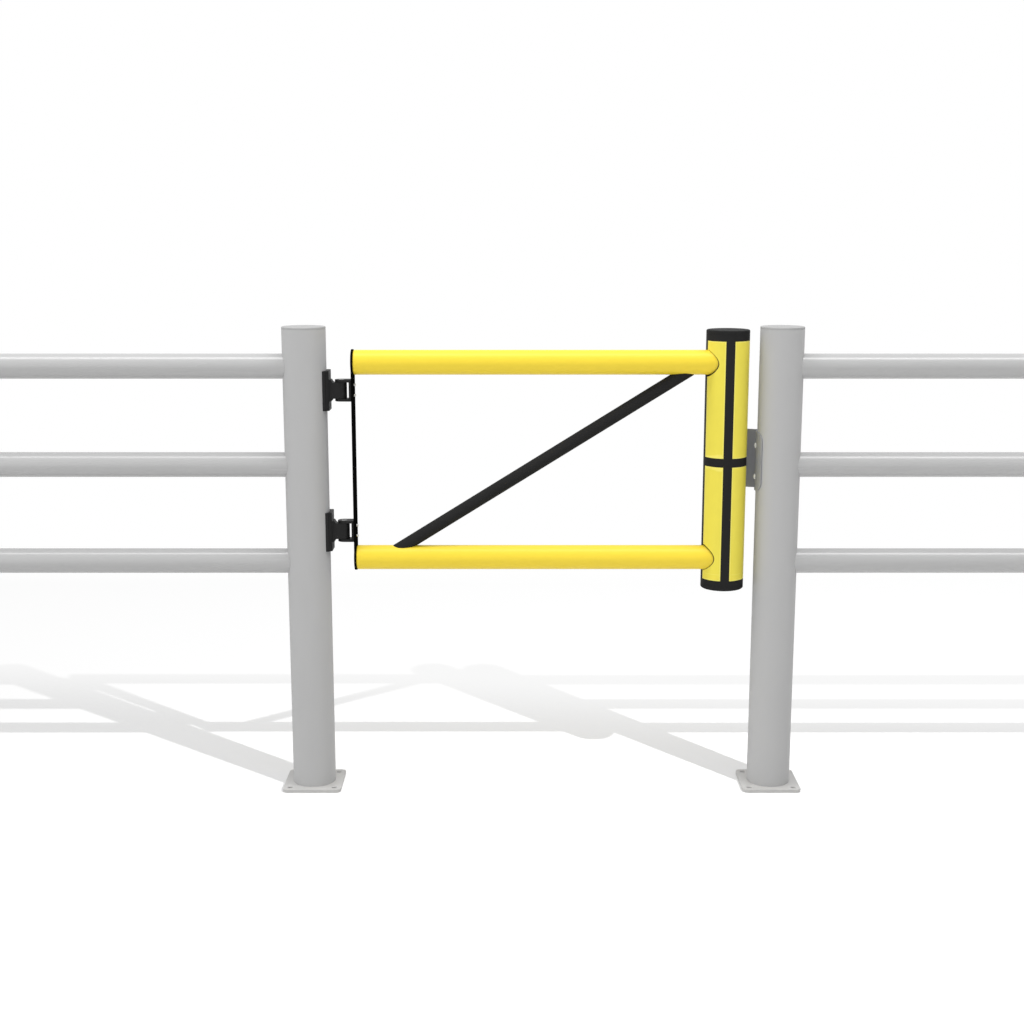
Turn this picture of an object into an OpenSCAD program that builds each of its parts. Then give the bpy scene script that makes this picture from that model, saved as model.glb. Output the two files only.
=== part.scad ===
// Swing gate in a round-post guard rail: two gate posts, one whole bay of fence on each side,
// and a braced gate leaf that hangs on two pin hinges and closes against a stop on the latch post.
// Origin: centre of the underside of the hinge post's base plate. +X runs along the fence towards
// the latch post, +Y runs away from the side that the leaf opens to, +Z is up. Millimetres.

/* [Fence layout] */
// Distance between the axes of the hinge post and the latch post
gate_pitch = 1097; // [900:1:1400]
// Distance between the axes of two posts of a fence bay
bay_pitch = 1500; // [1000:10:2000]

/* [Posts] */
// Height of a post from the floor to the top of its cap
post_height = 1100; // [950:5:1350]
// Outside diameter of a post
post_d = 101; // [84:0.5:122]
// Wall of a post tube
post_wall = 8; // [5:0.5:12]
// Thickness of the cap above the tube
cap_t = 5; // [3:0.5:8]
// Depth of the cap's plug inside the tube
cap_plug_h = 22; // [10:1:40]

/* [Base plates] */
// Side of the square base plate
plate_size = 138; // [115:1:168]
// Thickness of the base plate
plate_t = 8; // [6:0.5:12]
// Corner radius of the base plate
plate_corner_r = 12; // [6:1:24]
// Distance between two anchor holes
anchor_spacing = 105; // [88:1:126]
// Diameter of an anchor hole
anchor_d = 12; // [8:0.5:14]

/* [Fence rails] */
// Outside diameter of a fence rail
rail_d = 58; // [46:0.5:70]
// Wall of a fence rail
rail_wall = 5; // [3:0.5:8]
// Height of the middle fence rail's axis
rail_mid_z = 780; // [600:5:860]
// Height step from one fence rail to the next
rail_step = 229; // [180:1:250]
// How far a rail's end reaches into a post
rail_engage = 30; // [15:1:40]
// Radial gap between a rail and the hole it enters
rail_gap = 0.5; // [0.3:0.1:0.8]

/* [Gate leaf] */
// Height of the middle of the leaf
leaf_mid_z = 788.75; // [700:0.25:850]
// Height between the axes of the two gate rails
leaf_rail_spacing = 458.5; // [380:0.5:550]
// Outside diameter of a gate rail
gate_rail_d = 57; // [46:0.5:66]
// Wall of a gate rail
gate_rail_wall = 5; // [3:0.5:8]
// Chamfer on a gate rail's hinge end
gate_rail_chamfer = 2; // [1:0.5:3]
// Outside diameter of the diagonal brace
brace_d = 29.5; // [24:0.5:36]
// Wall of the diagonal brace
brace_wall = 4; // [2:0.5:6]
// From the stile to where the brace's axis meets the bottom rail's axis
brace_low_x = 67; // [50:1:120]
// From the leading tube's axis to where the brace's axis meets the top rail's axis
brace_high_x = 59; // [55:1:120]

/* [Hinge stile] */
// Thickness of the stile plate
stile_t = 5; // [4:0.5:8]
// How far the stile's round ends stand proud of the gate rails
stile_rim = 1.5; // [0.5:0.5:4]
// Width of the stile between its round ends
stile_w = 49; // [40:1:49]

/* [Leading tube] */
// Outside diameter of the leading tube
lead_d = 100; // [84:0.5:120]
// Wall of the leading tube
lead_wall = 6; // [4:0.5:9]
// Height of the leading tube with its two caps
lead_h = 607; // [560:1:730]
// Gap between the leading tube and the latch post
lead_gap = 21.5; // [18:0.1:28]
// How far the leading tube's axis lies behind the gate rails' axes
lead_offset_y = 12; // [8:0.5:15]
// Thickness of a leading tube cap outside the tube
lead_cap_t = 10; // [6:1:14]
// Chamfer around a leading tube cap
lead_cap_chamfer = 2; // [1:0.5:3]
// Extra radius of the leading tube's rail holes
rail_hole_extra = 1.5; // [1.2:0.1:2.5]
// How far the rail holes are shifted towards the middle of the leaf
rail_hole_shift = 1.2; // [0:0.1:1.2]
// How far a gate rail's end reaches past the leading tube's axis
gate_rail_engage = 10; // [4:1:14]

/* [Marker panels] */
// Thickness of a marker panel on the leading tube
panel_t = 0.6; // [0.4:0.1:1.2]
// Height of a marker panel
panel_h = 268.6; // [220:0.2:300]
// Height of the bare band between the two rows of panels
panel_row_gap = 20.8; // [10:0.2:30]
// Angle of the bare strip between two panels at the front and at the back of the tube
panel_front_gap = 24; // [10:1:40]
// Angle of the bare strip between two panels at each side of the tube
panel_side_gap = 38; // [10:1:40]
// How much larger than the rail hole the notch is that a panel is cut back to around it
panel_notch_gap = 1.2; // [1.2:0.1:2.5]
// How far that notch is set towards the front
panel_notch_front = 1; // [0:0.1:1]
// How far that notch is set towards the middle of the leaf
panel_notch_shift = 0.6; // [0:0.1:0.6]

/* [Hinges] */
// Height between the two hinges
hinge_spacing = 330; // [260:1:350]
// Distance from the hinge post's surface to the hinge pin's axis
hinge_reach = 34; // [33:0.5:42]
// Diameter of a hinge pin
pin_d = 11.9; // [9.9:0.1:13.9]
// Radial running gap around a hinge pin
pin_gap = 0.05; // [0.02:0.01:0.1]
// Outside diameter of the barrel
barrel_d = 25; // [20:1:26]
// Height of the barrel
barrel_h = 37.4; // [30:0.2:44]
// Running gap above and below the barrel
barrel_gap = 0.3; // [0.2:0.1:0.6]
// Thickness of the fork's strip
fork_t = 6; // [4:0.5:7]
// Width of the fork's strip
fork_w = 30; // [26:0.5:32]
// Clear gap between the barrel and the back of the fork
fork_back_gap = 5.3; // [5:0.1:8]
// Height of the saddle that hugs the post
saddle_h = 92; // [76:1:110]
// Depth of the saddle across the post
saddle_w = 54; // [46:1:56]
// How far the saddle's outer face stands off the post's surface
saddle_t = 7.25; // [5:0.25:7.5]
// Chamfer on the saddle's upright outer edge on the side that the leaf opens to
saddle_chamfer = 8.25; // [8:0.25:9]
// Chamfer on the saddle's other upright outer edge
saddle_back_chamfer = 2; // [1:0.5:8]
// Diameter of a saddle screw's head
saddle_screw_d = 12; // [8:0.5:14]

/* [Stop] */
// Height of the stop plate
stop_h = 138; // [115:1:165]
// Thickness of the stop plate
stop_t = 3; // [2:0.5:4]
// Angle that the stop plate covers on the post, from the side that faces the leaf to the front edge
stop_front_angle = 34; // [30:1:48]
// The same from that side to the rear edge, where the sheet is folded
stop_rear_angle = 40; // [34:1:48]
// Length of the stop's straight leg
stop_leg = 80; // [66:1:90]
// Gap between the closed leaf and the stop's leg
stop_gap = 0.5; // [0.3:0.1:2]
// Corner radius of the stop plate's front edge
stop_corner_r = 22; // [10:1:30]
// Height between the stop's two screws
stop_screw_spacing = 73; // [60:1:90]

/* [Hidden] */

$fn = 96;
// Overlap of cutting shapes past the faces they cut
eps = 1;
// Gap between two curved faces of fixed pieces that hug each other
seat_gap = 0.2;
// Thickness of the adhesive film between a marker panel and the leading tube
panel_seat_gap = 0.1;
// Extra radius with which a corner's arc crosses the straight edges that it ends on
arc_crossing = 0.25;
// Chamfer around a post cap
cap_chamfer = 1.5;
// Chamfer around a screw's head
head_chamfer = 0.8;
// Thickness of a screw's head
screw_head_h = 3;

post_r = post_d / 2;
rail_r = rail_d / 2;
gate_rail_r = gate_rail_d / 2;
post_xs = [-bay_pitch, 0, gate_pitch, gate_pitch + bay_pitch];

leaf_top_z = leaf_mid_z + leaf_rail_spacing / 2;
leaf_bottom_z = leaf_mid_z - leaf_rail_spacing / 2;
lead_r = lead_d / 2;
lead_x = gate_pitch - post_r - lead_gap - panel_seat_gap - panel_t - lead_r;
lead_low_z = leaf_mid_z - lead_h / 2;
lead_high_z = leaf_mid_z + lead_h / 2;
rail_hole_r = gate_rail_r + rail_hole_extra;

pin_x = post_r + hinge_reach;
upper_hinge_z = leaf_mid_z + hinge_spacing / 2;
lower_hinge_z = leaf_mid_z - hinge_spacing / 2;
bore_d = pin_d + 2 * pin_gap;
fork_back_x = pin_x + barrel_d / 2 + fork_back_gap;
stile_x = fork_back_x + fork_t;
fork_inner_h = barrel_h + 2 * barrel_gap;
fork_h = fork_inner_h + 2 * fork_t;
fork_bolt_spacing = 24;
fork_bolt_d = 6;
fork_bolt_head_d = 12;
// How far a fork bolt's end stands out of the stile
fork_bolt_reach = 4.4;
// How far a hinge pin's peened ends spread into the mouths of the fork's bore
peen = 1;
gate_rail_x = stile_x + stile_t;
saddle_face_x = post_r + saddle_t;
// From a saddle's end to the axis of its screw
saddle_screw_inset = 12;
saddle_screw_spacing = saddle_h - 2 * saddle_screw_inset;
screw_d = 8;
screw_hole_d = screw_d + 2 * seat_gap;
// How far a screw's tip reaches past the inside of a post's wall
screw_reach = 4;
saddle_screw_zs = [for (z = [lower_hinge_z, upper_hinge_z], side = [-1, 1])
    z + side * saddle_screw_spacing / 2];
stop_screw_zs = [for (side = [-1, 1]) leaf_mid_z + side * stop_screw_spacing / 2];
panel_row_step = panel_h + panel_row_gap;

// A round bar or tube along +X from x0 to x1, with a bore when bore_d is over 0
module x_tube(x0, x1, outer_d, inner_d = 0) {
    translate([x0, 0, 0]) rotate([0, 90, 0]) difference() {
        cylinder(d = outer_d, h = x1 - x0);
        if (inner_d > 0) translate([0, 0, -eps]) cylinder(d = inner_d, h = x1 - x0 + 2 * eps);
    }
}

// A disc standing on z = 0 with a chamfer of c around its upper edge
module chamfered_disc(d, h, c) {
    rotate_extrude() polygon([[0, 0], [d / 2, 0], [d / 2, h - c], [d / 2 - c, h], [0, h]]);
}

// A square slab on z = 0, centred on the origin, with round corners
module rounded_slab(size, h, r) {
    for (turn = [0, 90]) rotate([0, 0, turn])
        translate([-size / 2, -(size / 2 - r), 0]) cube([size, size - 2 * r, h]);
    for (sx = [-1, 1], sy = [-1, 1])
        translate([sx * (size / 2 - r), sy * (size / 2 - r), 0]) cylinder(r = r, h = h);
}

// Heights of the three fence rails, bottom first
function fence_rail_z(row) = rail_mid_z + (row - 1) * rail_step;

// ---- posts -------------------------------------------------------------------------------

// A post tube with the holes that its rails enter, on its -X side where side is -1 and on its +X
// side where it is 1. screw_zs are the heights of the screw holes in its other side
module post(x, side, screw_zs = []) {
    top_z = post_height - cap_t;
    color("silver") translate([x, 0, 0]) difference() {
        translate([0, 0, plate_t]) cylinder(d = post_d, h = top_z - plate_t);
        translate([0, 0, plate_t - eps])
            cylinder(d = post_d - 2 * post_wall, h = top_z - plate_t + 2 * eps);
        for (row = [0:2]) translate([0, 0, fence_rail_z(row)]) rotate([0, side * 90, 0])
            cylinder(r = rail_r + rail_gap, h = post_r + eps);
        for (z = screw_zs) translate([0, 0, z]) rotate([0, -side * 90, 0])
            cylinder(d = screw_hole_d, h = post_r + eps);
    }
}

module post_cap(x) {
    plug_d = post_d - 2 * post_wall - 2 * seat_gap;
    color("silver") translate([x, 0, post_height - cap_t]) {
        chamfered_disc(post_d, cap_t, cap_chamfer);
        translate([0, 0, -cap_plug_h]) cylinder(d = plug_d, h = cap_plug_h);
    }
}

module post_plate(x) {
    color("silver") translate([x, 0, 0]) difference() {
        rounded_slab(plate_size, plate_t, plate_corner_r);
        for (sx = [-1, 1], sy = [-1, 1])
            translate([sx * anchor_spacing / 2, sy * anchor_spacing / 2, -eps])
                cylinder(d = anchor_d, h = plate_t + 2 * eps);
    }
}

// A rail between the post at post_xs[bay] and the next one
module fence_rail(bay, row) {
    reach = post_r - rail_engage;
    color("silver") translate([0, 0, fence_rail_z(row)])
        x_tube(post_xs[bay] + reach, post_xs[bay + 1] - reach, rail_d, rail_d - 2 * rail_wall);
}

// ---- hinges ------------------------------------------------------------------------------

// Post side of a hinge: a saddle that hugs the post, a tapering neck and a bored barrel
module hinge_saddle(z) {
    half_w = saddle_w / 2;
    // Half of the neck's width where it leaves the saddle, and how far out it narrows to the barrel
    neck_half_w = 17;
    neck_narrow_x = 6;
    // The neck's height drops to the barrel's between these two distances from the saddle's face
    neck_drop_from_x = 4;
    neck_drop_to_x = 8.25;
    color([0.16, 0.16, 0.16]) translate([0, 0, z]) difference() {
        union() {
            translate([0, 0, -saddle_h / 2]) linear_extrude(saddle_h) polygon([
                [0, -half_w], [saddle_face_x - saddle_chamfer, -half_w],
                [saddle_face_x, saddle_chamfer - half_w], [saddle_face_x, half_w - saddle_back_chamfer],
                [saddle_face_x - saddle_back_chamfer, half_w], [0, half_w]]);
            intersection() {
                translate([0, 0, -fork_h / 2]) linear_extrude(fork_h) polygon([
                    [saddle_face_x - eps, -neck_half_w], [saddle_face_x, -neck_half_w],
                    [saddle_face_x + neck_narrow_x, -barrel_d / 2], [pin_x, -barrel_d / 2],
                    [pin_x, barrel_d / 2], [saddle_face_x + neck_narrow_x, barrel_d / 2],
                    [saddle_face_x, neck_half_w], [saddle_face_x - eps, neck_half_w]]);
                rotate([90, 0, 0]) translate([0, 0, -half_w]) linear_extrude(saddle_w) polygon([
                    [0, -fork_h / 2], [saddle_face_x + neck_drop_from_x, -fork_h / 2],
                    [saddle_face_x + neck_drop_to_x, -barrel_h / 2], [pin_x + eps, -barrel_h / 2],
                    [pin_x + eps, barrel_h / 2], [saddle_face_x + neck_drop_to_x, barrel_h / 2],
                    [saddle_face_x + neck_drop_from_x, fork_h / 2], [0, fork_h / 2]]);
            }
            translate([pin_x, 0, -barrel_h / 2]) cylinder(d = barrel_d, h = barrel_h);
        }
        translate([0, 0, -saddle_h / 2 - eps]) cylinder(r = post_r + seat_gap, h = saddle_h + 2 * eps);
        translate([pin_x, 0, -barrel_h / 2 - eps]) cylinder(d = bore_d, h = barrel_h + 2 * eps);
        for (side = [-1, 1]) translate([0, 0, side * saddle_screw_spacing / 2]) {
            x_tube(post_r - eps, saddle_face_x + eps, screw_hole_d);
            translate([saddle_face_x, 0, 0]) rotate([0, -90, 0]) countersink(saddle_screw_d, screw_d);
        }
    }
}

// The cone that a flush head sits in, mouth at z = 0. shrink makes the head that goes in it
module countersink(head_d, shank_d, shrink = 0) {
    depth = (head_d - shank_d) / 2;
    translate([0, 0, -eps])
        cylinder(r1 = head_d / 2 + eps - shrink, r2 = shank_d / 2 - shrink, h = depth + eps);
}

// The two flush screws that fix a saddle to the post, above and below its neck
module saddle_screws(z) {
    grip = saddle_t + post_wall + screw_reach;
    socket_d = 5;
    socket_depth = 3;
    color([0.2, 0.2, 0.2]) for (side = [-1, 1])
        translate([saddle_face_x, 0, z + side * saddle_screw_spacing / 2]) rotate([0, -90, 0])
            difference() {
                union() {
                    cylinder(d = screw_d, h = grip);
                    intersection() {
                        countersink(saddle_screw_d, screw_d, seat_gap);
                        cylinder(d = saddle_screw_d, h = grip);
                    }
                }
                translate([0, 0, -eps]) cylinder(d = socket_d, h = socket_depth + eps, $fn = 6);
            }
}

// Gate side of a hinge: a strip bent into a fork that holds the barrel between its arms
module hinge_fork(z) {
    arm_x = fork_back_x - pin_x;
    color([0.14, 0.14, 0.14]) translate([pin_x, 0, z]) difference() {
        union() {
            for (side = [-1, 1]) translate([0, 0, side * (fork_h - fork_t) / 2 - fork_t / 2]) {
                cylinder(d = fork_w, h = fork_t);
                translate([0, -fork_w / 2, 0]) cube([arm_x + fork_t, fork_w, fork_t]);
            }
            translate([arm_x, -fork_w / 2, -fork_h / 2]) cube([fork_t, fork_w, fork_h]);
        }
        translate([0, 0, -fork_h / 2 - eps]) cylinder(d = bore_d, h = fork_h + 2 * eps);
        for (turn = [0, 180]) rotate([turn, 0, 0]) translate([0, 0, -fork_h / 2])
            countersink(pin_d + 2 * peen, pin_d, -pin_gap);
        for (side = [-1, 1]) translate([arm_x, 0, side * fork_bolt_spacing / 2])
            rotate([0, 90, 0]) {
                translate([0, 0, -eps]) cylinder(d = fork_bolt_d + 2 * seat_gap, h = fork_t + 2 * eps);
                countersink(fork_bolt_head_d, fork_bolt_d);
            }
    }
}

// The pin through a hinge's fork and barrel. Its ends are peened flush into the fork's arms
module hinge_pin(z) {
    color([0.7, 0.7, 0.7]) translate([pin_x, 0, z]) intersection() {
        cylinder(d = pin_d + 2 * peen, h = fork_h, center = true);
        union() {
            cylinder(d = pin_d, h = fork_h + 2 * eps, center = true);
            for (turn = [0, 180]) rotate([turn, 0, 0]) translate([0, 0, -fork_h / 2])
                countersink(pin_d + 2 * peen, pin_d);
        }
    }
}

// The two bolts that fix a fork to the stile: flush inside the fork and screwed through the stile
module fork_bolts(z) {
    length = fork_t + stile_t + fork_bolt_reach;
    color([0.8, 0.8, 0.8]) for (side = [-1, 1])
        translate([fork_back_x, 0, z + side * fork_bolt_spacing / 2]) rotate([0, 90, 0]) {
            chamfered_disc(fork_bolt_d, length, head_chamfer);
            intersection() {
                countersink(fork_bolt_head_d, fork_bolt_d, seat_gap);
                cylinder(d = fork_bolt_head_d, h = length);
            }
        }
}

// ---- gate leaf ---------------------------------------------------------------------------

// A gate rail: a tube with a closed, chamfered end at the stile and an open end in the leading tube
module gate_rail(z) {
    length = lead_x + gate_rail_engage - gate_rail_x;
    end_wall = 12;
    color("gold") translate([gate_rail_x, 0, z]) rotate([0, 90, 0]) difference() {
        union() {
            translate([0, 0, gate_rail_chamfer]) cylinder(d = gate_rail_d, h = length - gate_rail_chamfer);
            cylinder(d1 = gate_rail_d - 2 * gate_rail_chamfer, d2 = gate_rail_d, h = gate_rail_chamfer);
        }
        translate([0, 0, end_wall]) cylinder(d = gate_rail_d - 2 * gate_rail_wall, h = length);
    }
}

// The diagonal tube between the gate rails, mitred to sit on their round sides
module gate_brace() {
    low = [gate_rail_x + brace_low_x, leaf_bottom_z];
    high = [lead_x - brace_high_x, leaf_top_z];
    run = high - low;
    length = norm(run);
    color([0.17, 0.17, 0.17]) difference() {
        translate([low.x, 0, low.y]) rotate([0, 90 - atan2(run.y, run.x), 0]) difference() {
            cylinder(d = brace_d, h = length);
            translate([0, 0, -eps]) cylinder(d = brace_d - 2 * brace_wall, h = length + 2 * eps);
        }
        for (z = [leaf_bottom_z, leaf_top_z]) translate([0, 0, z])
            x_tube(gate_rail_x - eps, lead_x + lead_r, gate_rail_d + 2 * seat_gap);
    }
}

// The flat plate that both gate rails end on: two round ends joined by a narrower strip
module hinge_stile() {
    end_r = gate_rail_r + stile_rim;
    color([0.05, 0.05, 0.05]) difference() {
        union() {
            for (z = [leaf_bottom_z, leaf_top_z]) translate([0, 0, z])
                x_tube(stile_x, stile_x + stile_t, 2 * end_r);
            translate([stile_x, -stile_w / 2, leaf_bottom_z])
                cube([stile_t, stile_w, leaf_rail_spacing]);
        }
        for (hinge_z = [lower_hinge_z, upper_hinge_z], side = [-1, 1])
            translate([0, 0, hinge_z + side * fork_bolt_spacing / 2])
                x_tube(stile_x - eps, stile_x + stile_t + eps, fork_bolt_d + 2 * seat_gap);
    }
}

// The two bores through the leading tube's near wall that the gate rails enter. margin is added to
// their radius, and they are set by front towards the front and by inward towards mid-leaf
module gate_rail_holes(margin = 0, front = 0, inward = 0) {
    for (side = [-1, 1])
        translate([0, -front, leaf_mid_z + side * (leaf_rail_spacing / 2 - rail_hole_shift - inward)])
            x_tube(lead_x - lead_r - panel_seat_gap - panel_t - eps, lead_x, 2 * (rail_hole_r + margin));
}

module leading_tube() {
    tube_z = lead_low_z + lead_cap_t;
    tube_h = lead_h - 2 * lead_cap_t;
    color([0.13, 0.13, 0.13]) difference() {
        translate([lead_x, lead_offset_y, tube_z]) difference() {
            cylinder(d = lead_d, h = tube_h);
            translate([0, 0, -eps]) cylinder(d = lead_d - 2 * lead_wall, h = tube_h + 2 * eps);
        }
        gate_rail_holes();
    }
}

// A cap of the leading tube. up is 1 for the top cap and -1 for the bottom one
module leading_tube_cap(up) {
    plug_d = lead_d - 2 * lead_wall - 2 * seat_gap;
    plug_h = 15;
    seat_z = up > 0 ? lead_high_z - lead_cap_t : lead_low_z + lead_cap_t;
    color([0.12, 0.12, 0.12]) translate([lead_x, lead_offset_y, seat_z])
        rotate([up > 0 ? 0 : 180, 0, 0]) {
            chamfered_disc(lead_d, lead_cap_t, lead_cap_chamfer);
            translate([0, 0, -plug_h]) cylinder(d = plug_d, h = plug_h);
        }
}

// A marker panel around nearly a quarter of the leading tube. side is 1 for the panels at +X and -1
// for those at -X, face is -1 for the front ones and 1 for the back ones, and row is 1 for the
// upper row and 0 for the lower row
module marker_panel(side, face, row) {
    sweep = 90 - (panel_front_gap + panel_side_gap) / 2;
    bearing = face * (90 - side * (panel_front_gap + sweep) / 2);
    low_z = leaf_mid_z + (row - 0.5) * panel_row_step - panel_h / 2;
    color("khaki") difference() {
        translate([lead_x, lead_offset_y, low_z]) rotate([0, 0, bearing - sweep / 2])
            rotate_extrude(angle = sweep) translate([lead_r + panel_seat_gap, 0]) square([panel_t, panel_h]);
        gate_rail_holes(panel_notch_gap, panel_notch_front, panel_notch_shift);
    }
}

// ---- stop --------------------------------------------------------------------------------

// The stop on the latch post: a flange that hugs the post, folded at its rear edge into a straight
// leg that stands behind the leading tube
module stop_plate() {
    inner_r = post_r + seat_gap;
    outer_r = inner_r + stop_t;
    low_z = leaf_mid_z - stop_h / 2;
    // Bearing of the flange's rear edge from the post's axis
    edge_bearing = 180 - stop_rear_angle;
    // The leading tube's axis from that edge's outer corner, with +X square to the sheet there
    tube = [lead_x - gate_pitch, lead_offset_y];
    to_tube = [tube.x * cos(edge_bearing) + tube.y * sin(edge_bearing) - outer_r,
               tube.y * cos(edge_bearing) - tube.x * sin(edge_bearing)];
    // The leg is tangent to the leading tube's panels, less the gap that is left
    clear_r = lead_r + panel_seat_gap + panel_t + stop_gap;
    leg_bearing = atan2(to_tube.y, to_tube.x) - asin(clear_r / norm(to_tube));
    color([0.5, 0.5, 0.48]) difference() {
        translate([gate_pitch, 0, low_z]) rotate([0, 0, edge_bearing]) {
            rotate_extrude(angle = stop_rear_angle + stop_front_angle)
                translate([inner_r, 0]) square([stop_t, stop_h]);
            linear_extrude(stop_h) polygon(stop_leg_outline(inner_r, outer_r, leg_bearing));
        }
        for (up = [-1, 1]) translate([gate_pitch, 0, leaf_mid_z])
            stop_corner_cut(inner_r + stop_t / 2, up);
        for (z = stop_screw_zs) translate([0, 0, z])
            x_tube(gate_pitch - outer_r - eps, gate_pitch - inner_r + 2 * eps, screw_hole_d);
    }
}

// Outline of the stop's fold and leg, seen from above, with the flange's rear edge on y = 0. The
// fold's round side has its centre on the outer corner of that edge. Two points lap into the flange
function stop_leg_outline(inner_r, outer_r, leg_bearing) =
    let (corner = [outer_r, 0],
         steps = 12,
         lap_inset = stop_t / 6,
         leg_run = stop_leg * [cos(leg_bearing), sin(leg_bearing)])
    concat(
        [corner + [-lap_inset, stop_t], [inner_r + lap_inset, stop_t]],
        [for (step = [0:steps]) let (bearing = 180 + (leg_bearing + 90) * step / steps)
            corner + stop_t * [cos(bearing), sin(bearing)]],
        [corner + leg_run + stop_t * [sin(leg_bearing), -cos(leg_bearing)],
         corner + leg_run,
         corner]);

// What is cut away outside a round corner of the stop flange's front edge, square to the sheet at
// the middle of that corner. mid_r is the radius of the middle of the sheet, and up is 1 for the
// top corner and -1 for the bottom one
module stop_corner_cut(mid_r, up) {
    half_corner_angle = stop_corner_r / 2 / mid_r * 180 / PI;
    edge = mid_r * sin(half_corner_angle);
    block = stop_corner_r + 2 * stop_t;
    rotate([0, 0, 180 + stop_front_angle - half_corner_angle])
        translate([mid_r - 3 * stop_t, edge - stop_corner_r, up * (stop_h / 2 - stop_corner_r)])
            difference() {
                rotate([up > 0 ? 0 : -90, 0, 0]) cube([6 * stop_t, block, block]);
                rotate([0, 90, 0]) translate([0, 0, -eps])
                    cylinder(r = stop_corner_r + arc_crossing, h = 6 * stop_t + 2 * eps);
            }
}

module stop_screws() {
    grip = stop_t + post_wall + screw_reach;
    head_d = 13;
    color([0.8, 0.8, 0.78]) for (z = stop_screw_zs)
        translate([gate_pitch - post_r - seat_gap - stop_t, 0, z]) rotate([0, -90, 0]) {
            translate([0, 0, -grip]) cylinder(d = screw_d, h = grip + eps);
            chamfered_disc(head_d, screw_head_h, head_chamfer);
        }
}

// ---- nodes -------------------------------------------------------------------------------

post(post_xs[1], -1, saddle_screw_zs);  // hinge_post
post(post_xs[2], 1, stop_screw_zs);  // latch_post
post(post_xs[0], 1);  // left_end_post
post(post_xs[3], -1);  // right_end_post
post_cap(post_xs[1]);  // hinge_post_cap
post_cap(post_xs[2]);  // latch_post_cap
post_cap(post_xs[0]);  // left_end_post_cap
post_cap(post_xs[3]);  // right_end_post_cap
post_plate(post_xs[1]);  // hinge_post_plate
post_plate(post_xs[2]);  // latch_post_plate
post_plate(post_xs[0]);  // left_end_post_plate
post_plate(post_xs[3]);  // right_end_post_plate
fence_rail(0, 2);  // left_rail_top
fence_rail(0, 1);  // left_rail_middle
fence_rail(0, 0);  // left_rail_bottom
fence_rail(2, 2);  // right_rail_top
fence_rail(2, 1);  // right_rail_middle
fence_rail(2, 0);  // right_rail_bottom
hinge_saddle(upper_hinge_z);  // upper_hinge_saddle
hinge_saddle(lower_hinge_z);  // lower_hinge_saddle
saddle_screws(upper_hinge_z);  // upper_saddle_screws
saddle_screws(lower_hinge_z);  // lower_saddle_screws
stop_plate();
stop_screws();
gate_rail(leaf_top_z);  // gate_rail_top
gate_rail(leaf_bottom_z);  // gate_rail_bottom
gate_brace();
hinge_stile();
leading_tube();
leading_tube_cap(1);  // leading_tube_cap_top
leading_tube_cap(-1);  // leading_tube_cap_bottom
marker_panel(-1, -1, 1);  // panel_upper_front_left
marker_panel(1, -1, 1);  // panel_upper_front_right
marker_panel(-1, 1, 1);  // panel_upper_back_left
marker_panel(1, 1, 1);  // panel_upper_back_right
marker_panel(-1, -1, 0);  // panel_lower_front_left
marker_panel(1, -1, 0);  // panel_lower_front_right
marker_panel(-1, 1, 0);  // panel_lower_back_left
marker_panel(1, 1, 0);  // panel_lower_back_right
hinge_fork(upper_hinge_z);  // upper_hinge_fork
hinge_fork(lower_hinge_z);  // lower_hinge_fork
hinge_pin(upper_hinge_z);  // upper_hinge_pin
hinge_pin(lower_hinge_z);  // lower_hinge_pin
fork_bolts(upper_hinge_z);  // upper_fork_bolts
fork_bolts(lower_hinge_z);  // lower_fork_bolts
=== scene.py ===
import math

import bmesh
import bpy
from mathutils import Matrix, Vector


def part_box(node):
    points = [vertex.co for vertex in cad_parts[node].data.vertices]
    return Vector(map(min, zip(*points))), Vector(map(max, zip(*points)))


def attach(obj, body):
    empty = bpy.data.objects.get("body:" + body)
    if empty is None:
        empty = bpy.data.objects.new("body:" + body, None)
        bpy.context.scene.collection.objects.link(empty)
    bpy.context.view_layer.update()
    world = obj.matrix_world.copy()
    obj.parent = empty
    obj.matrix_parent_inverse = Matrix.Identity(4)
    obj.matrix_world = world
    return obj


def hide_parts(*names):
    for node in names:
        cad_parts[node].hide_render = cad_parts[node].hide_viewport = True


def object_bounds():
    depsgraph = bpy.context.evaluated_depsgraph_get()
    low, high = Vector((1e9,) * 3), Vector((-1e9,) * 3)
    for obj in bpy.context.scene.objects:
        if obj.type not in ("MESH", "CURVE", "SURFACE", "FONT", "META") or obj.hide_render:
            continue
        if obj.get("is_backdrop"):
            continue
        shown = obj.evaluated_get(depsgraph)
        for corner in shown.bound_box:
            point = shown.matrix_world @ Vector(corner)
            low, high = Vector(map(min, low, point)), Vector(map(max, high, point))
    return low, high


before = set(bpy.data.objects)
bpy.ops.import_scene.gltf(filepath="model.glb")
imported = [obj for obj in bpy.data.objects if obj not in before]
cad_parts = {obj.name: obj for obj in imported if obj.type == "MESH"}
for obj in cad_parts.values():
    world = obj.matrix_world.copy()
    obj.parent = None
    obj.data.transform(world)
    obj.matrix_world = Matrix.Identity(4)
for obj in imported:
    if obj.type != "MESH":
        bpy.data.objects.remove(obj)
cad_low, cad_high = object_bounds()

# ---- Base plates -----------------------------------------------------------------------------
# Each post stands on a square plate cut from 8 mm steel, with round corners and four drilled
# anchor holes. The plates are powder coated grey, and the post's tube is fixed on top.

mm = 0.001
plate_corner = 12 * mm
plate_edge = 1.0 * mm
anchor_spacing = 105 * mm
anchor_hole = 12 * mm
anchor_sink = 1.4 * mm
plate_ease_steps = 3
hole_steps = 32
noise_span = (0.3, 0.7)
plate_grey = (0.51, 0.505, 0.495)
posts = ("left_end_post", "hinge_post", "latch_post", "right_end_post")


def middle(node):
    """The middle of a CAD node's box"""
    low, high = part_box(node)
    return (low + high) / 2


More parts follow.
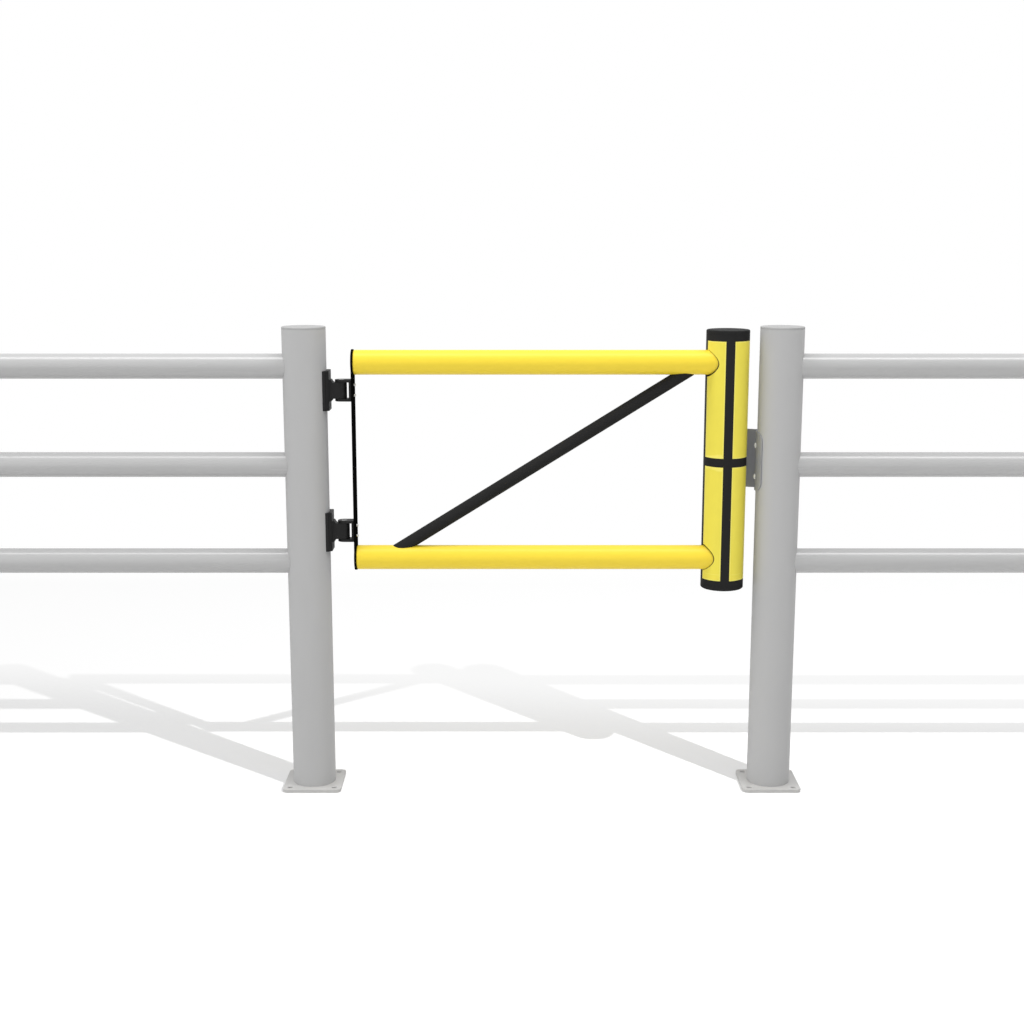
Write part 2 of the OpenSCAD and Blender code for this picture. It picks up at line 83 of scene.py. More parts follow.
def eased(corners, steps=4):
    """A closed outline with its corners rounded. Each corner is (across, along, radius)"""
    points = []
    for i, (across, along, radius) in enumerate(corners):
        corner = Vector((across, along))
        if radius == 0:
            points.append(corner)
            continue
        back = (Vector(corners[i - 1][:2]) - corner).normalized()
        ahead = (Vector(corners[(i + 1) % len(corners)][:2]) - corner).normalized()
        half_angle = back.angle(ahead) / 2
        centre = corner + (back + ahead).normalized() * radius / math.sin(half_angle)
        start = corner + back * radius / math.tan(half_angle) - centre
        end = corner + ahead * radius / math.tan(half_angle) - centre
        swing = start.angle(end)
        for step in range(steps + 1):
            share = step / steps
            bend = start * math.sin((1 - share) * swing) + end * math.sin(share * swing)
            points.append(centre + bend / math.sin(swing))
    return points


def round_square(half, corner, centre, steps=10):
    """A square outline with round corners, about a centre"""
    signs = ((-1, -1), (1, -1), (1, 1), (-1, 1))
    corners = [(half * across, half * along, corner) for across, along in signs]
    return [point + Vector(centre) for point in eased(corners, steps)]


def circle(radius, centre, steps):
    """A circle's points about a centre"""
    turns = [2 * math.pi * step / steps for step in range(steps)]
    return [Vector((radius * math.cos(turn), radius * math.sin(turn))) + Vector(centre)
            for turn in turns]


def lay_loop(mesh, outline, height):
    """A level loop of points at that height"""
    return [mesh.verts.new((point.x, point.y, height)) for point in outline]


def skin(mesh, loop, following):
    """Faces between two loops of equal count, or between a loop and a single point"""
    count = max(len(loop), len(following))
    for i in range(count):
        j = (i + 1) % count
        corners = [loop[i % len(loop)], loop[j % len(loop)]]
        corners += [following[j % len(following)], following[i % len(following)]]
        face = list(dict.fromkeys(corners))
        if len(face) > 2:
            mesh.faces.new(face)


def fill(mesh, loops):
    """Fills the flat area inside the first loop and outside the others"""
    edges = []
    for loop in loops:
        for i, point in enumerate(loop):
            pair = (loop[i - 1], point)
            edges.append(mesh.edges.get(pair) or mesh.edges.new(pair))
    bmesh.ops.triangle_fill(mesh, use_beauty=True, use_dissolve=False, edges=edges)


def make_piece(mesh, name, finish, crease=35):
    """A piece in the row frame. Edges that turn more than the crease angle stay sharp"""
    bmesh.ops.recalc_face_normals(mesh, faces=mesh.faces)
    data = bpy.data.meshes.new(name)
    mesh.to_mesh(data)
    mesh.free()
    data.shade_smooth()
    if crease:
        data.set_sharp_from_angle(angle=math.radians(crease))
    data.materials.append(finish)
    piece = bpy.data.objects.new(name, data)
    bpy.context.scene.collection.objects.link(piece)
    return piece


def even_shading(piece):
    """Flat and straight faces keep their own shading beside small eased edges"""
    weighted = piece.modifiers.new("even shading", "WEIGHTED_NORMAL")
    weighted.keep_sharp = True


def add_node(tree, kind, wired=None, **settings):
    """A shader node. wired holds its inputs: a plain value, or another node's output"""
    node = tree.nodes.new(kind)
    for name, value in settings.items():
        setattr(node, name, value)
    for name, value in (wired or {}).items():
        if isinstance(value, bpy.types.NodeSocket):
            tree.links.new(value, node.inputs[name])
        else:
            node.inputs[name].default_value = value
    return node


def shades(tree, factor, *colours):
    """A colour that runs from one shade to another as the factor rises"""
    ramp = add_node(tree, "ShaderNodeValToRGB", {"Fac": factor})
    for mark, position, colour in zip(ramp.color_ramp.elements, noise_span, colours):
        mark.position = position
        mark.color = (*colour, 1)
    return ramp.outputs["Color"]


def ranged(tree, value, span, result, **settings):
    """The value carried from one span over to another, and held within it"""
    return add_node(tree, "ShaderNodeMapRange", {
        "Value": value, "From Min": span[0], "From Max": span[1],
        "To Min": result[0], "To Max": result[1]}, **settings).outputs["Result"]


def tint(colour, share):
    """The colour, lighter or darker by a share"""
    return tuple(min(1, channel * (1 + share)) for channel in colour)


def grained_finish(name, colour, patch=60 * mm, patch_tint=0.02, grain=1.2 * mm, depth=0.02 * mm,
                   stretch=(1, 1, 1), roughness=(0.5, 0.6), gloss=0.3, metal=0.0):
    """A finish with soft patches of shade, a fine grain in relief and a roughness that varies.
    stretch below 1 along an axis draws the grain out that way"""
    finish = bpy.data.materials.new(name)
    finish.use_nodes = True
    tree = finish.node_tree
    shader = tree.nodes["Principled BSDF"]
    shader.inputs["Specular IOR Level"].default_value = gloss
    shader.inputs["Metallic"].default_value = metal
    place = add_node(tree, "ShaderNodeTexCoord").outputs["Object"]
    drawn = add_node(tree, "ShaderNodeMapping", {"Vector": place, "Scale": stretch}).outputs["Vector"]
    patches = add_node(tree, "ShaderNodeTexNoise", {"Vector": drawn, "Scale": 1 / patch, "Detail": 3})
    grains = add_node(tree, "ShaderNodeTexNoise", {"Vector": drawn, "Scale": 1 / grain, "Detail": 4})
    both_tints = tint(colour, -patch_tint), tint(colour, patch_tint)
    painted = shades(tree, patches.outputs["Fac"], *both_tints)
    tree.links.new(painted, shader.inputs["Base Color"])
    rough = ranged(tree, patches.outputs["Fac"], noise_span, roughness)
    tree.links.new(rough, shader.inputs["Roughness"])
    relief = add_node(tree, "ShaderNodeBump", {
        "Height": grains.outputs["Fac"], "Strength": 1.0, "Distance": depth})
    tree.links.new(relief.outputs["Normal"], shader.inputs["Normal"])
    return finish


plate_coat = grained_finish("grey powder coat", plate_grey, patch=25 * mm, patch_tint=0.03,
                            grain=0.9 * mm, depth=0.03 * mm, roughness=(0.42, 0.55))

for post in posts:
    node = post + "_plate"
    low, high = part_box(node)
    centre = middle(node).to_2d()
    half = (high.x - low.x) / 2
    spots = [centre + Vector((sx, sy)) * anchor_spacing / 2 for sx in (-1, 1) for sy in (-1, 1)]
    mesh = bmesh.new()
    sides = [lay_loop(mesh, round_square(half, plate_corner, centre), low.z)]
    for step in range(plate_ease_steps + 1):
        turn = step / plate_ease_steps * math.pi / 2
        inset = plate_edge * (1 - math.cos(turn))
        outline = round_square(half - inset, plate_corner - inset, centre)
        sides.append(lay_loop(mesh, outline, high.z - plate_edge * (1 - math.sin(turn))))
    for loop, following in zip(sides, sides[1:]):
        skin(mesh, loop, following)
    bottom_loops, top_loops = [sides[0]], [sides[-1]]
    for spot in spots:
        bore = circle(anchor_hole / 2, spot, hole_steps)
        foot = lay_loop(mesh, bore, low.z)
        throat = lay_loop(mesh, bore, high.z - anchor_sink)
        mouth = lay_loop(mesh, circle(anchor_hole / 2 + anchor_sink, spot, hole_steps), high.z)
        skin(mesh, foot, throat)
        skin(mesh, throat, mouth)
        bottom_loops.append(foot)
        top_loops.append(mouth)
    fill(mesh, bottom_loops)
    fill(mesh, top_loops)
    plate = make_piece(mesh, node + "_drilled", plate_coat)
    even_shading(plate)
    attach(plate, "fence")
    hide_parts(node)

# ---- Post tubes ------------------------------------------------------------------------------
# The posts are thick round tubes of light grey polymer, cut to length. Three holes are bored in
# one side of each tube, and the fence rails push into them.

post_wall = 8 * mm
rail_hole_gap = 0.5 * mm
hole_ease = 1.2 * mm
tube_end_bevel = 0.4 * mm
tube_columns = 96
hole_rows = 24
hole_margin = 9 * mm
hole_ring_shares = (0.3, 0.6, 0.85)
hole_ease_steps = 3
narrow_patch, wide_patch = 14, 15
narrow_patch_reach = 0.72
post_grey = (0.46, 0.46, 0.46)


def patch_edge(half_columns, first_level):
    """The (column, level) places around a hole's patch of the tube's grid, from its lower corner"""
    last_level = first_level + hole_rows
    around = [(column, first_level) for column in range(-half_columns, half_columns)]
    around += [(half_columns, level) for level in range(first_level, last_level)]
    around += [(column, last_level) for column in range(half_columns, -half_columns, -1)]
    around += [(-half_columns, level) for level in range(last_level, first_level, -1)]
    return around


def tube_face(mesh, axis, radius, ends, bore, ease, half_columns, directions=None):
    """One round face of a bored tube: a grid around the axis, with a patch around each bore.
    ends are the (height, radius) levels at the foot and the head. Returns the loops at both ends,
    the loop around each bore, and the direction of each of that loop's points from its middle"""
    bearing, aside, bore_radius, heights = bore
    reach = bore_radius + ease
    sides = [math.asin((aside + side * reach) / radius) for side in (-1, 1)]
    mid_angle = bearing + sum(sides) / 2
    column_angle = 2 * math.pi / tube_columns
    patch_half_h = reach + hole_margin
    foot_levels, head_levels = ends
    levels = list(foot_levels)
    first_levels = []
    for height in heights:
        first_levels.append(len(levels))
        for row in range(hole_rows + 1):
            levels.append((height + patch_half_h * (2 * row / hole_rows - 1), radius))
    levels += head_levels
    grid = {}

    def on_face(angle, height, face_radius=radius):
        return mesh.verts.new((axis.x + face_radius * math.cos(angle),
                               axis.y + face_radius * math.sin(angle), height))

    def on_grid(column, level):
        key = (column % tube_columns, level)
        if key not in grid:
            angle = mid_angle + column * column_angle
            height, level_radius = levels[level]
            grid[key] = on_face(angle, height, level_radius)
        return grid[key]

    for level in range(len(levels) - 1):
        in_patch = any(first <= level < first + hole_rows for first in first_levels)
        for column in range(half_columns - tube_columns, half_columns):
            if in_patch and column >= -half_columns:
                continue
            mesh.faces.new((on_grid(column, level), on_grid(column + 1, level),
                            on_grid(column + 1, level + 1), on_grid(column, level + 1)))
    bore_loops = []
    for height, first in zip(heights, first_levels):
        around = patch_edge(half_columns, first)
        places = [(mid_angle + column * column_angle, levels[level][0]) for column, level in around]
        if directions is None:
            directions = [math.atan2(z - height, radius * math.sin(angle - bearing) - aside)
                          for angle, z in places]

        def rim(rim_radius, face_radius):
            return [(bearing + math.asin((aside + rim_radius * math.cos(turn)) / face_radius),
                     height + rim_radius * math.sin(turn)) for turn in directions]

        last = [on_grid(column, level) for column, level in around]
        for share in hole_ring_shares:
            ring = [on_face(angle + share * (rim_angle - angle), z + share * (rim_z - z))
                    for (angle, z), (rim_angle, rim_z) in zip(places, rim(reach, radius))]
            skin(mesh, last, ring)
            last = ring
        ease_steps = hole_ease_steps if ease else 0
        for step in range(ease_steps + 1):
            turn = step / max(1, ease_steps) * math.pi / 2
            rim_radius = bore_radius + ease * (1 - math.sin(turn))
            face_radius = radius - ease * (1 - math.cos(turn))
            ring = [on_face(angle, z, face_radius) for angle, z in rim(rim_radius, face_radius)]
            skin(mesh, last, ring)
            last = ring
        bore_loops.append(last)
    end_loops = [[on_grid(column, level) for column in range(tube_columns)]
                 for level in (0, len(levels) - 1)]
    return end_loops, bore_loops, directions


def bored_tube(mesh, axis, radius, wall, low_z, high_z, bore, ease):
    """A tube standing on low_z with bores through one side, each with an eased edge.
    bore is (bearing, sideways offset, radius, heights). A wide bore takes a wider patch"""
    bevel = tube_end_bevel
    inside = radius - wall
    outer_ends = ([(low_z, radius - bevel), (low_z + bevel, radius)],
                  [(high_z - bevel, radius), (high_z, radius - bevel)])
    inner_ends = ([(low_z, inside)], [(high_z, inside)])
    widest = max(abs(bore[1] + side * bore[2]) for side in (-1, 1))
    half_columns = narrow_patch if widest < narrow_patch_reach * radius else wide_patch
    outer, outer_bores, directions = tube_face(
        mesh, axis, radius, outer_ends, bore, ease, half_columns)
    inner, inner_bores, _ = tube_face(
        mesh, axis, inside, inner_ends, bore, 0, half_columns, directions)
    for loop, following in zip(outer + outer_bores, inner + inner_bores):
        skin(mesh, loop, following)


post_finish = grained_finish("light grey moulded polymer", post_grey, patch=90 * mm, patch_tint=0.012,
                             grain=0.8 * mm, depth=0.012 * mm, stretch=(1, 1, 0.5),
                             roughness=(0.55, 0.65), gloss=0.2)

for post, fence_side, rail_bearing in (
        ("left_end_post", "left", 0), ("hinge_post", "left", math.pi),
        ("latch_post", "right", 0), ("right_end_post", "right", math.pi)):
    low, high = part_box(post)
    rails = [f"{fence_side}_rail_{row}" for row in ("bottom", "middle", "top")]
    rail_low, rail_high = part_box(rails[0])
    hole_radius = (rail_high.z - rail_low.z) / 2 + rail_hole_gap
    heights = [middle(rail).z for rail in rails]
    mesh = bmesh.new()
    bored_tube(mesh, middle(post), (high.x - low.x) / 2, post_wall, low.z, high.z,
               (rail_bearing, 0, hole_radius, heights), hole_ease)
    tube = make_piece(mesh, post + "_tube", post_finish)
    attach(tube, "fence")
    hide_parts(post)

# ---- Post caps -------------------------------------------------------------------------------
# A flat moulded cap closes each tube. Its plug is a push fit inside the tube, and its rim lies
# flush with the tube's side over a hairline joint.

cap_top_ease = 1.5 * mm
cap_joint = 0.4 * mm
cap_rim = 5 * mm
cap_plug_gap = 0.2 * mm
cap_plug_ease = 1 * mm
gate_mark = 4 * mm
gate_mark_dip = 0.3 * mm
on_axis = 0.001 * mm
post_cap_grey = (0.395, 0.395, 0.395)
post_cap_finish = grained_finish("light grey moulded cap polymer", post_cap_grey, patch=40 * mm,
                                 patch_tint=0.012, grain=0.8 * mm, depth=0.02 * mm,
                                 roughness=(0.55, 0.65), gloss=0.1)


def turned(mesh, profile, place, steps=96):
    """Turns a closed profile of (radius, height) points about the local Z axis. A radius or a
    height may be a rule that gives its value at each angle"""
    angles = [2 * math.pi * step / steps for step in range(steps)]
    rings = []
    for radius, height in profile:
        if not callable(radius) and radius < on_axis:
            rings.append([mesh.verts.new(place @ Vector((0, 0, height)))])
            continue
        ring = []
        for angle in angles:
            out = radius(angle) if callable(radius) else radius
            up = height(angle) if callable(height) else height
            spot = Vector((out * math.cos(angle), out * math.sin(angle), up))
            ring.append(mesh.verts.new(place @ spot))
        rings.append(ring)
    for ring, following in zip(rings, rings[1:] + rings[:1]):
        if len(ring) > 1 or len(following) > 1:
            skin(mesh, ring, following)


def cap_profile(rim_out, rim_corners, seat, radius, plug, plug_end):
    """A cap's profile, from the moulding's gate mark in its middle round to the end of its plug"""
    dip = rim_out - math.copysign(gate_mark_dip, rim_out - seat)
    return eased([
        (0, dip, 0), (gate_mark, dip, 0), (gate_mark + gate_mark_dip, rim_out, 0), *rim_corners,
        (radius, seat, cap_joint), (plug, seat, 0), (plug, plug_end, cap_plug_ease),
        (0, plug_end, 0)])


for post in posts:
    node = post + "_cap"
    low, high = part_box(node)
    radius = (high.x - low.x) / 2
    profile = cap_profile(high.z, [(radius, high.z, cap_top_ease)], high.z - cap_rim, radius,
                          radius - post_wall - cap_plug_gap, low.z)
    mesh = bmesh.new()
    axis = middle(node)
    turned(mesh, profile, Matrix.Translation((axis.x, axis.y, 0)))
    cap = make_piece(mesh, node + "_moulding", post_cap_finish)
    even_shading(cap)
    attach(cap, "fence")
    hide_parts(node)

# ---- Fence rails -----------------------------------------------------------------------------
# The rails are extruded tubes of the same grey polymer as the posts, but glossier. Their ends are
# eased and pushed into the holes of the two posts of their bay.

rail_wall = 5 * mm
rail_end_ease = 1 * mm
rail_grey = (0.43, 0.43, 0.43)
rail_finish = grained_finish("grey extruded polymer", rail_grey, patch=45 * mm, patch_tint=0.012,
                             grain=1.0 * mm, depth=0.01 * mm, stretch=(0.06, 1, 1),
                             roughness=(0.24, 0.3), gloss=0.7)
to_x_axis = Matrix.Rotation(math.pi / 2, 4, "Y")


def tube_profile(radius, wall, start, end, ease):
    """A plain tube's wall with eased outer and inner edges at both ends"""
    inner = radius - wall
    return eased([(inner, start, ease / 2), (radius, start, ease),
                  (radius, end, ease), (inner, end, ease / 2)])


for side in ("left", "right"):
    for row in ("top", "middle", "bottom"):
        node = f"{side}_rail_{row}"
        low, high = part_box(node)
        axis = middle(node)
        mesh = bmesh.new()
        profile = tube_profile((high.z - low.z) / 2, rail_wall, low.x, high.x, rail_end_ease)
        turned(mesh, profile, Matrix.Translation((0, axis.y, axis.z)) @ to_x_axis)
        rail = make_piece(mesh, node + "_tube", rail_finish)
        even_shading(rail)
        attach(rail, "fence")
        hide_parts(node)

# ---- Hinge saddles ---------------------------------------------------------------------------
# The fixed half of each hinge is one black powder-coated steel forging: a saddle that hugs the
# post, a tapering neck and a bored barrel for the pin. Two screws hold it to the post.

saddle_face_off = 7.25 * mm
saddle_front_corner = 8.25 * mm
saddle_back_corner = 2 * mm
saddle_ease = 0.8 * mm
post_seat_gap = 0.2 * mm
barrel_d = 25 * mm
barrel_h = 37.4 * mm
pin_bore = 12 * mm
hug_steps = 23
barrel_steps = 24
neck_sink = 2 * mm
neck_root_half = 17 * mm
neck_narrow_run = 6 * mm
neck_high_half = 25 * mm
neck_drop_start = 4 * mm
neck_drop_end = 8.25 * mm
forging_edge = 0.7 * mm
saddle_screw_inset = 12 * mm
saddle_head_d = 12 * mm
screw_shank_d = 8 * mm
screw_steps = 48
head_gap = 0.2 * mm
overcut = 1 * mm
edge_angle = 32
hinge_black = (0.010, 0.010, 0.010)
hinge_axis = middle("upper_hinge_pin").to_2d()
hinge_coat = grained_finish("black textured powder coat", hinge_black, patch=8 * mm, patch_tint=0.12,
                            grain=0.5 * mm, depth=0.05 * mm, roughness=(0.5, 0.62), gloss=0.22)


def heading(angle):
    """The level direction at that angle from the X axis"""
    return Vector((math.cos(angle), math.sin(angle)))


def upright(mesh, outline, low_z, high_z):
    """A closed upright block of that plan"""
    foot = lay_loop(mesh, outline, low_z)
    head = lay_loop(mesh, outline, high_z)
    skin(mesh, foot, head)
    fill(mesh, [foot])
    fill(mesh, [head])


def combine(piece, mesh, operation):
    """Joins the mesh to a piece, cuts it away or keeps the overlap, and uses the mesh up"""
    tool = make_piece(mesh, "tool", piece.data.materials[0], crease=None)
    cutter = piece.modifiers.new("combine", "BOOLEAN")
    cutter.operation = operation
    cutter.solver = "EXACT"
    cutter.object = tool
    bpy.context.view_layer.update()
    result = piece.evaluated_get(bpy.context.evaluated_depsgraph_get())
    shaped = bpy.data.meshes.new_from_object(result)
    piece.modifiers.clear()
    piece.data = shaped
    bpy.data.objects.remove(tool)


def ease_edges(piece, width):
    """Rounds every sharp edge of a piece a little"""
    easing = piece.modifiers.new("eased edges", "BEVEL")
    easing.width = width
    easing.segments = 2
    easing.use_clamp_overlap = False
    easing.limit_method = "ANGLE"
    easing.angle_limit = math.radians(edge_angle)
    even_shading(piece)


def sink_profile(head_d, shank_d, end):
    """A countersunk hole down the local Z axis from its mouth at 0 to its end"""
    head, shank = head_d / 2, shank_d / 2 + head_gap
    return [(0, end), (shank, end), (shank, shank - head), (head, 0), (head, overcut), (0, overcut)]


def neck_and_barrel(mesh, face_x, pin, mid_z):
    """The neck from inside the saddle to the round barrel, its top and foot dropping on the way"""
    drop_to = face_x + neck_drop_end
    narrow_to = face_x + neck_narrow_run
    barrel_half = barrel_h / 2
    drop_rate = (neck_high_half - barrel_half) / (neck_drop_end - neck_drop_start)
    narrow_rate = (neck_root_half - barrel_d / 2) / neck_narrow_run
    stations = [face_x - neck_sink, face_x, face_x + neck_drop_start, narrow_to, drop_to]
    half_widths = [neck_root_half - max(0, min(x, narrow_to) - face_x) * narrow_rate for x in stations]
    half_heights = [neck_high_half - max(0, x - stations[2]) * drop_rate for x in stations]
    turns = [-math.pi / 2 + math.pi * step / barrel_steps for step in range(barrel_steps + 1)]
    barrel_end = [pin + heading(turn) * barrel_d / 2 for turn in turns]
    walls = []
    for up in (-1, 1):
        near, far = [
            [mesh.verts.new((x, pin.y + side * half, mid_z + up * height))
             for x, half, height in zip(stations, half_widths, half_heights)] for side in (-1, 1)]
        for i in range(len(stations) - 1):
            mesh.faces.new((near[i], near[i + 1], far[i + 1], far[i]))
        nose = [mesh.verts.new((point.x, point.y, mid_z + up * barrel_half)) for point in barrel_end]
        flat = [near[-1]] + nose + [far[-1]]
        bore = lay_loop(mesh, circle(pin_bore / 2, pin, hole_steps), mid_z + up * barrel_half)
        fill(mesh, [flat, bore])
        walls.append((near + nose + far[::-1], bore))
    (foot_wall, foot_bore), (head_wall, head_bore) = walls
    skin(mesh, foot_wall, head_wall)
    skin(mesh, foot_bore, head_bore)


for level in ("upper", "lower"):
    node = f"{level}_hinge_saddle"
    low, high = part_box(node)
    mid_z = middle(node).z
    post_axis = middle("hinge_post").to_2d()
    hug_radius = middle("hinge_post").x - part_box("hinge_post")[0].x + post_seat_gap
    face_x = post_axis.x + hug_radius - post_seat_gap + saddle_face_off
    hug_angle = math.asin(high.y / hug_radius)
    turns = [hug_angle * (1 - 2 * step / hug_steps) for step in range(hug_steps + 1)]
    hug = [post_axis + heading(turn) * hug_radius for turn in turns]
    outer = eased([
        (face_x - saddle_front_corner, low.y, saddle_ease),
        (face_x, low.y + saddle_front_corner, saddle_ease),
        (face_x, high.y - saddle_back_corner, 0), (face_x - saddle_back_corner, high.y, 0)],
        steps=2)
    block = bmesh.new()
    upright(block, hug + outer, low.z, high.z)
    saddle = make_piece(block, node + "_forging", hinge_coat, crease=None)
    neck = bmesh.new()
    neck_and_barrel(neck, face_x, hinge_axis, mid_z)
    combine(saddle, neck, "UNION")
    for z in (low.z + saddle_screw_inset, high.z - saddle_screw_inset):
        mouth = bmesh.new()
        place = Matrix.Translation((face_x, post_axis.y, z)) @ to_x_axis
        profile = sink_profile(saddle_head_d, screw_shank_d, -2 * saddle_face_off)
        turned(mouth, profile, place, screw_steps)
        combine(saddle, mouth, "DIFFERENCE")
    ease_edges(saddle, forging_edge)
    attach(saddle, "fence")
    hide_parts(node)

# ---- Saddle screws ---------------------------------------------------------------------------
# Two black countersunk screws hold each saddle to the post, one above the neck and one below it.
# Their heads lie flush in the saddle's face and have a hexagon socket.

socket_across = 5 * mm
socket_depth = 3 * mm
head_rim = 0.3 * mm
screw_tip = 0.8 * mm


def hexagon(across):
    """How far a hexagon of that width across its flats reaches at each angle"""
    return lambda angle: across / 2 / math.cos(angle % (math.pi / 3) - math.pi / 6)


def flush_screw(mesh, place, head_d, shank_d, across, deep, length, thread=()):
    """A countersunk screw down the local Z axis. Its head's face is at 0 and has a socket. thread
    holds the (depth, rise) of points up the shank's side from where its tip ends"""
    head, shank = head_d / 2 - head_gap, shank_d / 2
    socket = hexagon(across)
    tip_end = screw_tip - length
    turned(mesh, [
        (0, -length), (shank - screw_tip, -length), (shank, tip_end),
        *[(shank - depth, tip_end + rise) for depth, rise in thread], (shank, shank - head),
        (head, -head_rim / 2), (head - head_rim, 0), (lambda angle: socket(angle) + head_rim, 0),
        (socket, -head_rim), (socket, -deep), (0, -deep - head_rim)], place, screw_steps)


for level in ("upper", "lower"):
    node = f"{level}_saddle_screws"
    low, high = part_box(node)
    saddle_low, saddle_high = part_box(f"{level}_hinge_saddle")
    mesh = bmesh.new()
    for z in (saddle_low.z + saddle_screw_inset, saddle_high.z - saddle_screw_inset):
        place = Matrix.Translation((high.x, middle(node).y, z)) @ to_x_axis
        flush_screw(mesh, place, saddle_head_d, screw_shank_d, socket_across, socket_depth,
                    high.x - low.x)
    screws = make_piece(mesh, node + "_pair", hinge_coat)
    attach(screws, "fence")
    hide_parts(node)

# ---- Stop plate ------------------------------------------------------------------------------
# The leaf closes against a leg of bare 3 mm steel sheet. The sheet is rolled to hug the latch
# post, folded outwards at its rear edge, and cut with two round corners at its front edge.

stop_t = 3 * mm
stop_front_wrap = math.radians(34)
stop_rear_wrap = math.radians(40)
stop_leg = 80 * mm
stop_corner = 22 * mm
leg_corner = 3 * mm
sheet_edge = 0.4 * mm
stop_corner_angles = (0, *range(18, 91, 9))
leg_corner_angles = range(0, 91, 15)
wrap_steps = 24
fold_steps = 12
weld_reach = 0.005 * mm
stop_grey = (0.334, 0.340, 0.360)
stop_finish = grained_finish("dull galvanised sheet", stop_grey, patch=7 * mm, patch_tint=0.05,
                             grain=0.4 * mm, depth=0.008 * mm, stretch=(1, 1, 0.12),
                             roughness=(0.5, 0.6), gloss=0.3, metal=0.15)

stop_low, stop_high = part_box("stop_plate")
latch_axis = middle("latch_post").to_2d()
stop_inner = latch_axis.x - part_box("latch_post")[0].x + post_seat_gap
fold_bearing = math.pi - stop_rear_wrap
fold_corner = latch_axis + heading(fold_bearing) * (stop_inner + stop_t)
leg_bearing = math.acos((stop_low.x - fold_corner.x) / stop_leg)


def stop_line():
    """Places along the sheet from its front edge: the middle of the sheet, the direction that its
    outer side faces, and the distance run"""
    roll = stop_inner + stop_t / 2
    wrap = (stop_front_wrap + stop_rear_wrap) * roll
    runs = [stop_corner * (1 - math.cos(math.radians(angle))) for angle in stop_corner_angles]
    runs += [stop_corner + (wrap - stop_corner) * (step + 1) / wrap_steps
             for step in range(wrap_steps)]
    line = []
    for run in runs:
        facing = heading(math.pi + stop_front_wrap - run / roll)
        line.append((latch_axis + facing * roll, facing, run))
    swing = math.pi / 2 + leg_bearing - fold_bearing
    for step in range(fold_steps):
        facing = -heading(fold_bearing + math.pi + swing * (step + 1) / fold_steps)
        line.append((fold_corner - facing * stop_t / 2, facing, wrap))
    leg_root, facing, _ = line[-1]
    remaining = [leg_corner * math.cos(math.radians(angle)) for angle in leg_corner_angles]
    for left in [stop_leg - leg_corner] + remaining:
        spot = leg_root + heading(leg_bearing) * (stop_leg - left)
        line.append((spot, facing, wrap + stop_leg - left))
    return line, wrap + stop_leg


def stop_half_height(run, length):
    """Half of the sheet's height where the line has run that far"""
    half = (stop_high.z - stop_low.z) / 2
    from_front = max(0, stop_corner - run)
    from_end = max(0, leg_corner - (length - run))
    return (half - stop_corner + math.sqrt(max(0, stop_corner ** 2 - from_front ** 2))
            - leg_corner + math.sqrt(max(0, leg_corner ** 2 - from_end ** 2)))


line, length = stop_line()
mid_z = middle("stop_plate").z
mesh = bmesh.new()
rims = []
for spot, facing, run in line:
    half = stop_half_height(run, length)
    rims.append([mesh.verts.new((*(spot + facing * side * stop_t / 2), mid_z + up * half))
                 for side, up in ((-1, -1), (1, -1), (1, 1), (-1, 1))])
for rim, following in zip(rims, rims[1:]):
    skin(mesh, rim, following)
mesh.faces.new(rims[0])
mesh.faces.new(rims[-1])
bmesh.ops.remove_doubles(mesh, verts=mesh.verts, dist=weld_reach)
stop = make_piece(mesh, "stop_plate_sheet", stop_finish, crease=None)
ease_edges(stop, sheet_edge)
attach(stop, "fence")
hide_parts("stop_plate")

# ---- Stop screws -----------------------------------------------------------------------------
# Two zinc-plated socket screws hold the stop's flange to the latch post. Their bright domed
# heads sit on the flange, one near its top and one near its foot.

stop_head_d = 13 * mm
screw_head_h = 3 * mm
stop_screw_spacing = 73 * mm
dome_socket_depth = 1.8 * mm
dome_angles = (0, 12, 25, 38, 50)
dome_side = 0.35
dome_flat = 0.58
socket_ease = 0.25 * mm
socket_floor_dip = 0.4 * mm
zinc = (0.82, 0.82, 0.81)
zinc_finish = grained_finish("bright zinc plate", zinc, patch=3 * mm, patch_tint=0.05,
                             grain=0.3 * mm, depth=0.006 * mm, roughness=(0.4, 0.5), metal=0.4)
to_minus_x_axis = Matrix.Rotation(-math.pi / 2, 4, "Y")


def socket_screw(mesh, place, head_d, head_h, across, shank_l):
    """A domed socket-head screw. Its head stands on the local origin, up the local Z axis"""
    head, shank = head_d / 2, screw_shank_d / 2
    socket = hexagon(across)
    floor_h = head_h - dome_socket_depth
    dome = [(head * math.cos(turn), head_h * (dome_side + (1 - dome_side) * math.sin(turn)))
            for turn in [math.radians(angle) for angle in dome_angles]]
    turned(mesh, [
        (shank, -shank_l), (shank, 0), (head, 0), *dome, (head * dome_flat, head_h),
        (lambda angle: socket(angle) + socket_ease, head_h), (socket, head_h - socket_ease),
        (socket, floor_h), (0, floor_h - socket_floor_dip), (0, -shank_l)], place, screw_steps)


stop_screw_low, stop_screw_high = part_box("stop_screws")
mesh = bmesh.new()
for side in (-1, 1):
    seat = Vector((stop_screw_low.x + screw_head_h, middle("stop_screws").y,
                   mid_z + side * stop_screw_spacing / 2))
    socket_screw(mesh, Matrix.Translation(seat) @ to_minus_x_axis,
                 stop_head_d, screw_head_h, socket_across, stop_screw_high.x - seat.x)
screws = make_piece(mesh, "stop_screws_pair", zinc_finish)
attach(screws, "fence")
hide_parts("stop_screws")

# ---- Hinge stile -----------------------------------------------------------------------------
# The leaf hangs from a flat bar of 5 mm steel with round ends, powder coated smooth black. Both
# gate rails end on it, each held by a socket screw driven through the stile's back.

